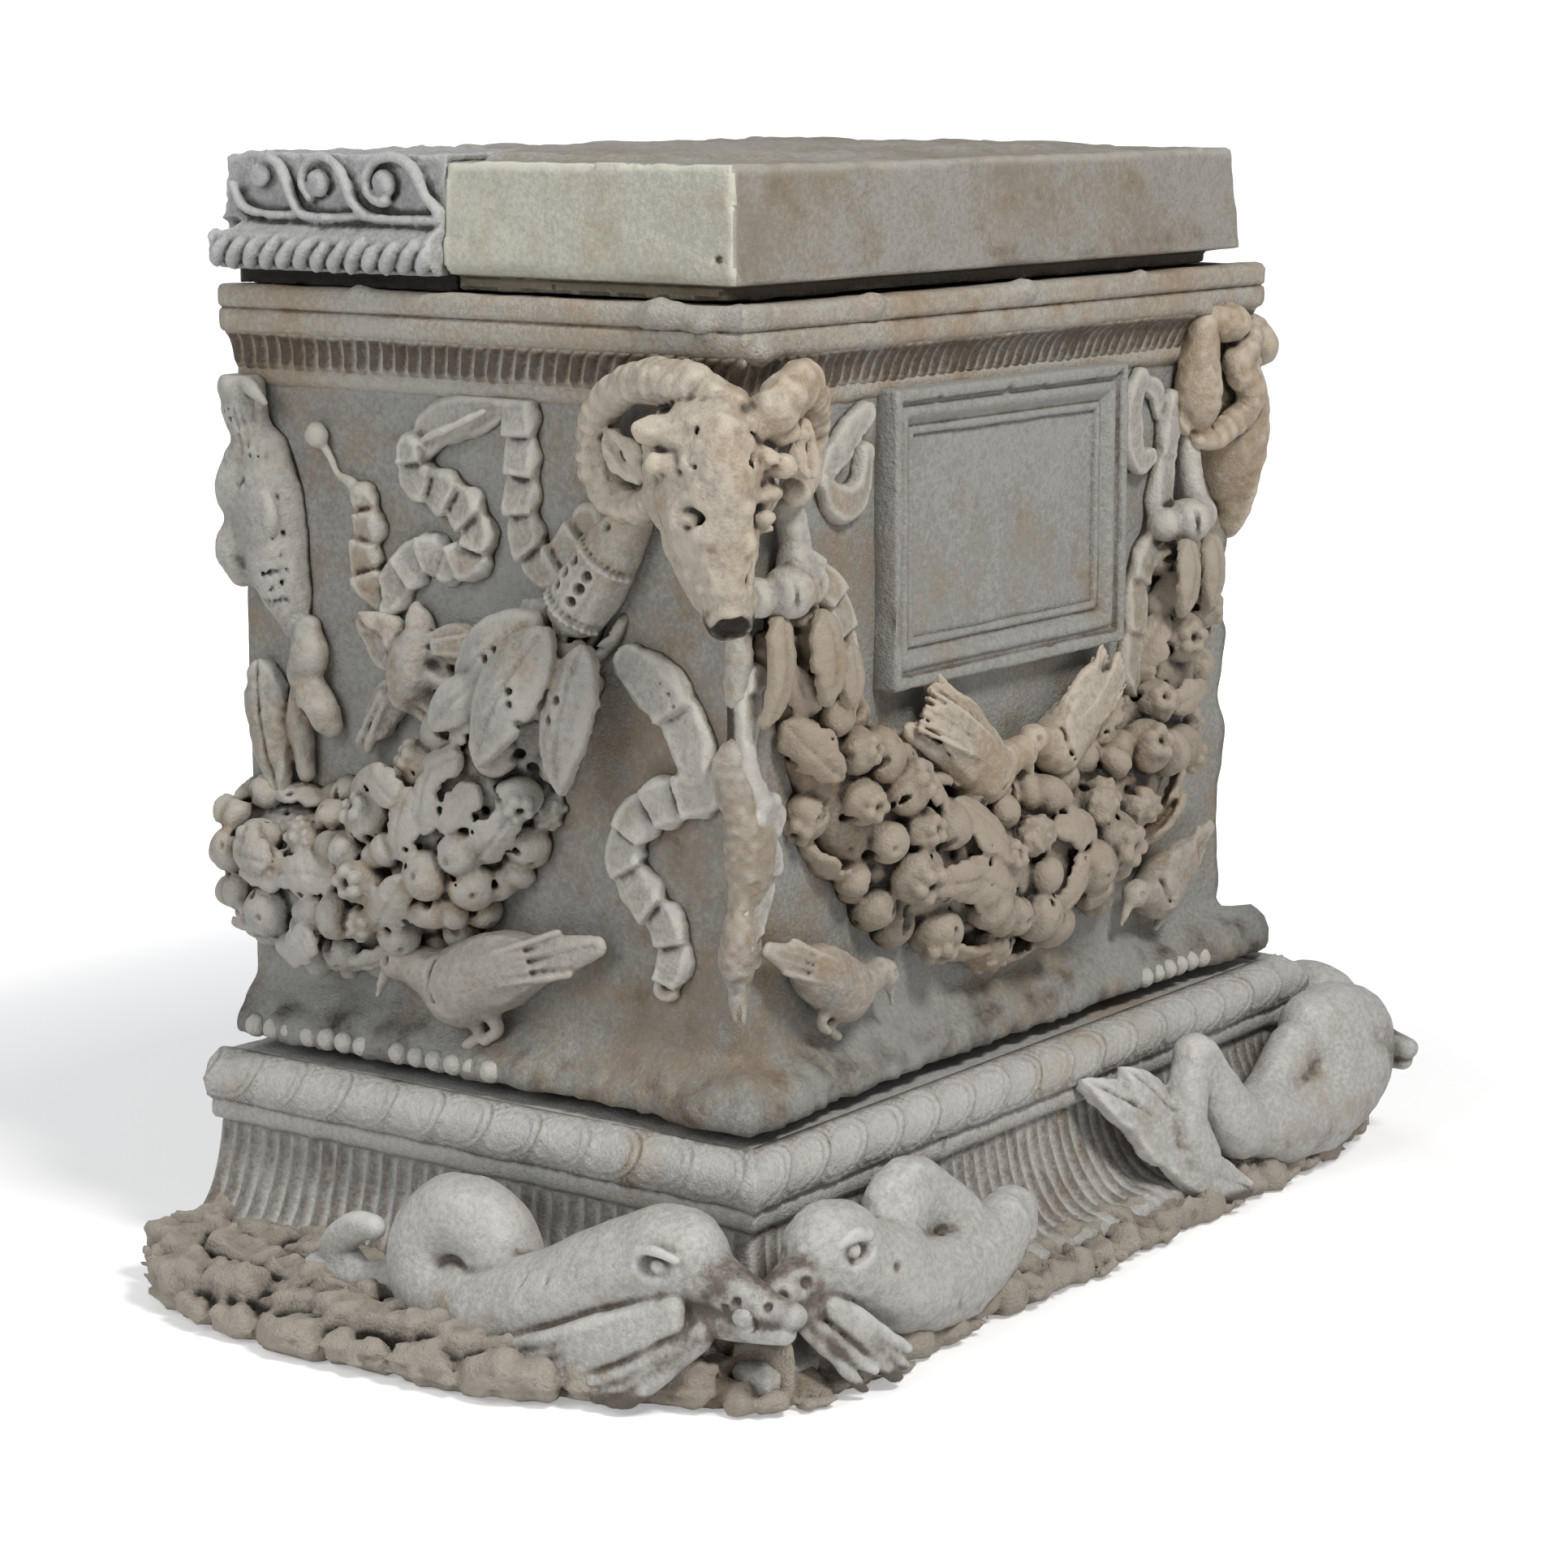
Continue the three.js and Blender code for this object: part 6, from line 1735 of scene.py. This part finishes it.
def bird(clay, spot, length, turn, facing=1, lifted=False):
    """A bird on the wall. spot: (along, out, up) of its breast, turn: its lean, facing: 1 or -1 along."""
    ahead = np.array((facing * cos(turn), 0.0, sin(turn)))
    above = np.array((-facing * sin(turn), 0.0, cos(turn)))
    outward = np.array((0.0, 1.0, 0.0))
    spot = np.array(spot, float)

    def at(a, b, c=0.0, radius=None):
        place = spot + length * (a * ahead + b * above + c * outward)
        return tuple(place) if radius is None else (*place, length * radius)

    axes = (ahead, above, outward)
    clay.lump(at(0, 0), length * np.array((0.33, 0.165, 0.15)), axes, 2.0)
    clay.lump(at(0.12, -0.02, 0.01), length * np.array((0.20, 0.17, 0.16)), axes, 3.0)
    clay.tube([at(0.22, 0.04, 0.02, 0.115), at(0.31, 0.10, 0.03, 0.09), at(0.37, 0.15, 0.04, 0.08)], 3.0)
    clay.lump(at(0.40, 0.16, 0.04), length * np.array((0.10, 0.085, 0.08)), axes, 1.5)
    clay.tube([at(0.46, 0.15, 0.04, 0.042), at(0.54, 0.10, 0.03, 0.024), at(0.60, 0.05, 0.02, 0.012)], 1.5)
    clay.lump(at(0.42, 0.18, 0.115), length * np.array((0.022, 0.022, 0.02)), axes, 0.6, True)
    wing_root = at(0.20, 0.03, 0.075)
    wing_tip = at(-0.60, 0.10, 0.05) if lifted else at(-0.46, -0.01, 0.02)
    feathered(
        clay, wing_root, wing_tip, outward, length * (0.15 if lifted else 0.13), length * 0.03,
        6 if lifted else 5
    )
    if lifted:
        feathered(
            clay, at(0.16, 0.06, 0.03), at(-0.52, 0.24, 0.0), outward, length * 0.12, length * 0.03, 4
        )
    clay.tube(
        [at(0.17, 0.12, 0.10, 0.012), at(0.21, 0.02, 0.15, 0.012), at(0.16, -0.09, 0.12, 0.012)], 1.5, True
    )
    clay.tube(
        [at(-0.20, 0.0, 0.03, 0.10), at(-0.38, -0.01, 0.02, 0.085), at(-0.60, -0.02, 0.01, 0.045)], 2.5,
        flat=(1, 0.6)
    )
    for i in range(3):
        spread = (i - 1) * 0.045
        clay.tube(
            [
                at(-0.30, spread, 0.085, 0.010), at(-0.45, spread * 1.3 - 0.01, 0.07, 0.012),
                at(-0.60, spread * 1.5 - 0.02, 0.04, 0.012)
            ],
            1.0, True
        )
    for a in (0.02, 0.12):
        clay.tube(
            [at(a, -0.13, 0.04, 0.040), at(a + 0.02, -0.22, 0.0, 0.028), at(a + 0.10, -0.25, 0.0, 0.026)],
            1.5
        )
    clay.weather((7.0, 0.6, 93), (2.4, 0.25, 94))


def perched_bird():
    """The small bird above the side garland, seen from behind: wings spread, head up, tail in two parts."""
    clay = Carving((108, -3, 122), (208, 24, 206), 0.9)
    clay.tube([(160, 6, 190, 4.5), (160, 8, 180, 9), (162, 9, 170, 11.5), (166, 8, 160, 9)], 2.0)
    clay.tube([(163, 6, 196, 2), (161, 8, 189, 5)], 1.5)
    feathered(clay, (168, 7, 172), (194, 5, 190), (0, 1, 0), 12, 4.5, 0)
    clay.lump((184, 11, 178), (8, 4, 6), blend=4.0, cut=True)
    feathered(clay, (154, 8, 180), (122, 6, 184), (0, 1, 0), 9, 4.5, 3)
    feathered(clay, (156, 8, 172), (138, 7, 163), (0, 1, 0), 6, 4.0, 1)
    feathered(clay, (172, 6, 164), (192, 5, 134), (0, 1, 0), 8.5, 4.0, 2)
    feathered(clay, (168, 6, 162), (156, 5, 150), (0, 1, 0), 8, 3.5, 2)
    clay.weather((7.0, 0.8, 91), (2.4, 0.3, 92))
    clay.keep_inside((108, -2, 122), (208, 22, 206))
    return clay


small_bird, large_bird = perched_bird(), Carving((34, -3, 6), (196, 34, 96), 0.9)
bird(large_bird, (122, 11, 45), 104, -0.36, 1)
for word in ("left", "right"):
    small_bird.skin("small_bird_" + word, bird_marble, "chest_body", on_wall(word), wall_stone, 4.0)
    large_bird.skin("large_bird_" + word, bird_marble, "chest_body", on_wall(word), wall_stone, 4.0)

for name, low, high, spot, length, turn, facing, lifted in (
    ("panel_bird_left", (84, -3, 92), (214, 28, 186), (152, 9, 126), 84, -0.42, 1, True),
    ("panel_bird_right", (176, -3, 92), (300, 28, 186), (230, 9, 128), 76, -0.36, -1, True),
    ("foot_bird_left", (-2, -3, 4), (118, 28, 98), (48, 10, 50), 78, -0.48, 1, False),
    ("foot_bird_right", (258, -3, 8), (378, 28, 96), (316, 10, 47), 72, -0.45, -1, False),
):
    clay = Carving(low, high, 0.9)
    bird(clay, spot, length, turn, facing, lifted)
    clay.keep_inside((-1, -2, 4), (376, 27, 280))
    clay.skin(
        name, bird_marble if "foot" in name else ram_marble, "chest_body", on_wall("front"), wall_stone, 4.0
    )


# An eagle stands at each rear corner, on the garland's end. Its wings are folded along the wall, and
# fine scales cover them. Below are its feathered legs and one long leaf.
def corner_eagle():
    """Body and folded wing, grooved neck, head, legs and the leaf beside them."""
    clay = Carving((202, -3, 104), (266, 44, 302), 1.0)
    body = [
        (232, 3, 176, 4), (235, 3, 188, 9), (240, 3, 203, 14), (244, 3, 220, 17), (247, 3, 238, 17),
        (248, 3, 254, 12)
    ]
    clay.tube(body, 2.0)
    clay.tube([(250, 4, 252, 11), (253, 7, 264, 9.5), (256, 9, 275, 10)], 3.0)
    clay.lump((257, 9, 283), (10, 11, 9), blend=2.5)
    clay.tube([(250, 14, 286, 3.5), (243, 16, 282, 2.8), (238, 15, 277, 1.6)], 1.5)
    for i in range(6):
        clay.tube(
            [
                (244 + 3 * i, 18 - abs(i - 3), 274, 0.9), (242 + 3.4 * i, 16 - abs(i - 3), 264, 0.9),
                (240 + 3.6 * i, 16 - abs(i - 3), 254, 0.7)
            ],
            1.0, True
        )
    for row in range(9):
        for i in range(6):
            level = 250 - 7.2 * row
            half = 14 * (1 - (row / 9) ** 2 * 0.7)
            side = 247 - 1.4 * row + half * ((i + 0.5 * (row % 2)) / 5 * 2 - 1)
            out = (
                3.5
                + (17 - 0.8 * row) * np.sqrt(max(0.05, 1 - ((side - 247 + 1.4 * row) / (half + 5)) ** 2))
            )
            clay.tube(
                [
                    (side - 2.6, out - 1, level + 2, 0.7), (side, out, level - 2.2, 0.8),
                    (side + 2.6, out - 1, level + 2, 0.7)
                ],
                0.8, True
            )
    clay.lump((240, 17, 230), (8.5, 3.5, 11), blend=3.0)
    clay.tube([(226, 5, 180, 7), (222, 8, 170, 8.5), (226, 7, 162, 8)], 2.0)
    clay.tube([(224, 8, 160, 6.5), (216, 9, 148, 8), (211, 7, 140, 5)], 2.0)
    clay.tube([(228, 6, 158, 5.5), (229, 7, 140, 6), (228, 5, 118, 4)], 2.0)
    clay.lump((221, 14, 143), (4, 5, 6), blend=2.0, cut=True)
    blade(clay, (252, 6, 166), (238, 9, 108), (0, 1, 0), 12, 4.0, 0.07, 0, 1.5, 0.0)
    clay.tube([(258, 12, 252, 6), (260, 15, 240, 6.5), (258, 12, 228, 5)], 5.0)
    clay.tube([(258, 12, 224, 5), (260, 16, 214, 6.5), (257, 12, 202, 5)], 5.0)
    clay.weather((6.0, 0.5, 97), (2.4, 0.25, 74))
    clay.keep_inside((202, -2, 104), (263.6, 43, 288))
    return clay


eagle = corner_eagle()
for word in ("left", "right"):
    eagle.skin("corner_eagle_" + word, relief_marble, "chest_body", on_wall(word), wall_stone, 4.0)

# The lid. The grey corner at the left rear is old marble, with a running wave over a deeply cut rope.
# The rest is a plain block set on in a repair, held to it by steel dowels. Its underside has a rebate.
fragment_marble = marble(
    "fragment_marble", (0.43, 0.43, 0.42), (0.38, 0.35, 0.30), (0.07, 0.062, 0.052), 0.85, 0.12, 0.55, 13.0,
    0.9
)
LID_SIDE, LID_FRONT, LID_BOTTOM, LID_TOP = 201.0, 133.0, 422.3, 479.0
REBATE_TOP, REBATE_INSET, FAR_CORNER_RADIUS = 429.0, 12.0, 14.0
JOIN = [(-230, 15.3), (-201, 15.3), (-150.6, 22.7), (-111.4, 59.9), (-89, 101.8), (-89, 170), (-230, 170)]
steel = even_grey("dowel_steel", (1.0, 1.0, 40.0), 60.0, 5.0, (0.42, 0.62), (0.2, 0.5), (0.2, 0.0002), 1.0)
clothe(("lid_dowel_1", "lid_dowel_2"), steel)


def lid_block(points):
    """Distance to the whole lid as one stone: sloping sides, a rebate below, a rounded far corner."""
    x, y, z = points[..., 0], points[..., 1], points[..., 2]
    lean = 4.0 * np.clip((z - REBATE_TOP) / (LID_TOP - REBATE_TOP), 0, 1)
    inset = np.where(z < REBATE_TOP, REBATE_INSET, lean)
    past_side, past_front = np.abs(x) - (LID_SIDE - inset), -y - (LID_FRONT - inset)
    side = np.maximum(past_side, np.maximum(y - BACK, past_front))
    radius = FAR_CORNER_RADIUS
    corner = np.hypot(np.maximum(past_side + radius, 0), np.maximum(past_front + radius, 0)) - radius
    return np.maximum(np.maximum(side, np.where(x > 0, corner, side)), LID_BOTTOM - z)


def old_corner():
    """The old corner: wave ridges round small discs, a ledge, and a rope of slanted strands."""
    clay = Carving((-212.5, 13, 420), (-86, 141, 481), 0.85)
    slices, points = clay.window(clay.low, clay.low + clay.step * np.array(clay.shape))
    x, y, z = points[..., 0], points[..., 1], points[..., 2]
    top = z - 477.5 - 1.2 * grain(points * (1, 1, 0), 14.0, 101) - 0.7 * grain(points * (1, 1, 0), 5.0, 102)
    top += 3.0 * np.clip((y - 118) / 20, 0, 1) * (0.6 + 0.4 * grain(points, 7.0, 103))
    join_gap = gap_to_line(x[:, :, 0], y[:, :, 0], JOIN)[..., None] + 0.6 + 0.5 * grain(points, 6.0, 104)
    ground = np.clip((z - 449) / 3, 0, 1) * 2.4
    stone = np.maximum(lid_block(points + np.stack([-ground, 0 * ground, 0 * ground], -1)), top)
    clay.merge(slices, np.maximum(stone, join_gap) * 0.8, 0.8)
    ledge = np.maximum(np.maximum(-207.5 - x + np.clip(z - 443.5, 0, 20) * 1.4, z - 450.5), 436.0 - z)
    ledge = np.maximum(np.maximum(ledge, x + 195), np.maximum(y - 139, join_gap))
    clay.merge(slices, (ledge + 0.7 * grain(points, 9.0, 105)) * 0.7, 1.2)
    turn = np.arctan2(z - 437.0, -(x + 202.5))
    strand = np.abs(np.sin(pi * ((y - 13) / 9.6 + turn * 0.42)))
    rope = np.hypot(x + 202.5, (z - 437.0) * 1.05) - 8.4 + 4.4 * (1 - strand**0.7)
    rope = np.maximum(rope, np.maximum(y - 139, join_gap))
    clay.merge(slices, rope * 0.6, 0.6)
    face = -199.4
    waves = [
        [
            (14, 452), (24, 461), (31, 472), (41, 476.5), (51, 475), (56, 469), (56, 463), (51, 459),
            (46, 458.5)
        ],
        [
            (17, 451.5), (36, 451), (54, 452), (63, 457), (69, 467), (73, 473), (79, 476), (86, 475.5),
            (91, 471), (92, 465), (88, 459.5)
        ],
        [(57, 452.5), (76, 451), (92, 452), (98, 459), (101, 466), (105, 473), (110, 476)],
        [(96, 452), (112, 452), (126, 455), (132, 464)]
    ]
    for number, wave in enumerate(waves):
        clay.tube(
            [(face, a, level, 2.1 - 0.25 * (number == 3)) for a, level in wave], 1.2, spacing=1.5,
            flat=(0, 1.25)
        )
    for a, level in ((47.5, 465.5), (84, 465.5)):
        clay.lump((face + 0.8, a, level), (3.2, 6.0, 6.0), blend=0.8)
    clay.lump((face, 116, 468), (2.2, 6, 5), blend=2.0)
    for a, level, size in ((60, 478, 4), (103, 479, 5), (128, 476, 7), (20, 478.5, 3.5), (134, 446, 6)):
        clay.lump((-199, a, level), (5, size * 1.3, size * 0.8), blend=1.5, cut=True)
    clay.weather((6.0, 0.5, 106), (2.2, 0.25, 107))
    clay.keep_inside((-211, 15.4, 422.2), (-89.2, BACK, LID_TOP))
    return clay


CARVED_FACE, CARVED_TOP = -193.5, 475.0


def lid_stone(x, y, z):
    """True inside the lid, for working out how hollow its carving looks."""
    return (x > CARVED_FACE) & (y < BACK) & (z < CARVED_TOP)


fragment = old_corner().skin("lid_fragment_old", fragment_marble, "lid_body", ground=lid_stone, reach=3.5)
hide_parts("lid_fragment")

# The restored part. Cream and smooth on the left face, with a warm chamfered edge below it, and
# grey with dark stains on the front. The left face's paler tone is partly painted light, that face
# painted as lit. A rougher raised area is left on top.
cream_and_painted_lit_marble = marble(
    "cream_and_painted_lit_marble", (0.56, 0.55, 0.46), (0.50, 0.44, 0.335), (0.30, 0.22, 0.12), 0.5, 0.35, 0.36, 14.0, 0.45
)
front_lid_marble = marble(
    "lid_front_marble", (0.38, 0.36, 0.32), (0.33, 0.28, 0.215), (0.16, 0.125, 0.09), 0.7, 0.6, 0.5, 15.0,
    0.8
)


def restored_part():
    """The plain block fitted to the old corner."""
    clay = Carving((-203, -135, 420), (203, 141, 481), 2.0)
    slices, points = clay.window(clay.low, clay.low + clay.step * np.array(clay.shape))
    x, y, z = points[..., 0], points[..., 1], points[..., 2]
    join_gap = -gap_to_line(x[:, :, 0], y[:, :, 0], JOIN)[..., None] + 0.3 + 0 * z
    edge = lid_block(points) + 0.5 + 0.5 * grain(points, 60.0, 111)
    middle_gap = np.maximum(np.abs(x) - 165, np.abs(y - 12) - 100)
    rough = np.clip(0.5 - (middle_gap + 8 * grain(points * (1, 1, 0), 26.0, 112)) / 6, 0, 1)
    top = z - 475.4 - rough * (
        2.2 + 1.0 * grain(points * (1, 1, 0), 11.0, 113) + 0.5 * grain(points * (1, 1, 0), 5.0, 114)
    )
    top = top - 0.7 * grain(points * (1, 1, 0), 40.0, 115)
    bevel = ((-x - 201) + (435.5 - z) * 0.85 + 1.5 * grain(points, 30.0, 116)) * 0.76
    front_bevel = ((-y - 133) + (432 - z) * 0.8 + 1.2 * grain(points, 24.0, 117)) * 0.78
    shape = np.maximum.reduce(
        [edge, top, join_gap, np.where(z > 428.5, bevel, -9), np.where(z > 428.5, front_bevel, -9)]
    )
    clay.merge(slices, shape * 0.85, 0.8)
    for place, radii in (
        ((-202, 3, 443), (3, 6, 2.2)), ((-201.5, 5, 464), (2, 5, 1.4)), ((-202, 6, 456), (2, 4, 1.4)),
        ((-201, -112, 452), (2, 3, 2.4)), ((-203, -96, 431), (5, 9, 3)), ((-198, -124, 440), (2.5, 2, 2)),
        ((60, -134, 431), (12, 4, 3)), ((168, -133, 457), (10, 2.5, 6)), ((-40, -133, 476), (14, 4, 3)),
        ((198, -110, 478), (8, 14, 5))
    ):
        clay.lump(place, radii, blend=1.5, cut=True)
    clay.weather((16.0, 0.5, 118), (5.0, 0.3, 119))
    clay.keep_inside((-201, -133, 422.2), (201, BACK, LID_TOP))
    return clay


def lid_grime_and_rebate_shade(points):
    """Grime on the lower edge and in streaks down the front, and painted shade in the rebate."""
    x, y, z = points.T
    # Below the rebate's top the stone is darkened by painted shade, for the dark gap under the lid's edge.
    low = 0.1 * np.clip((441 + 5 * grain(points, 14.0, 124) - z) / 8, 0, 1) + 0.4 * (z < 429)
    near_end = 0.08 * np.clip((-96 - y + 8 * grain(points, 12.0, 125)) / 10, 0, 1) * (x < -190)
    streaks = 0.16 * np.clip(grain(points * (1, 1, 0.18), 14.0, 126), 0, 1) * (y < -126)
    return low + near_end + streaks


restoration = restored_part().skin("lid_restored", front_lid_marble, "lid_body", reach=5.0, stain=lid_grime_and_rebate_shade)
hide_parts("lid_restoration")
restoration.data.materials.append(cream_and_painted_lit_marble)
face_count = len(restoration.data.polygons)
centres, facings = np.empty(face_count * 3, np.float32), np.empty(face_count * 3, np.float32)
restoration.data.polygons.foreach_get("center", centres)
restoration.data.polygons.foreach_get("normal", facings)
centres, facings = centres.reshape(-1, 3), facings.reshape(-1, 3)
# Faces that look left get the paler cream marble: partly the stone's tone, partly painted light on that
# face.
on_left = (centres[:, 0] < -0.188) & (facings[:, 0] < -0.3)
restoration.data.polygons.foreach_set("material_index", on_left.astype(np.int32))
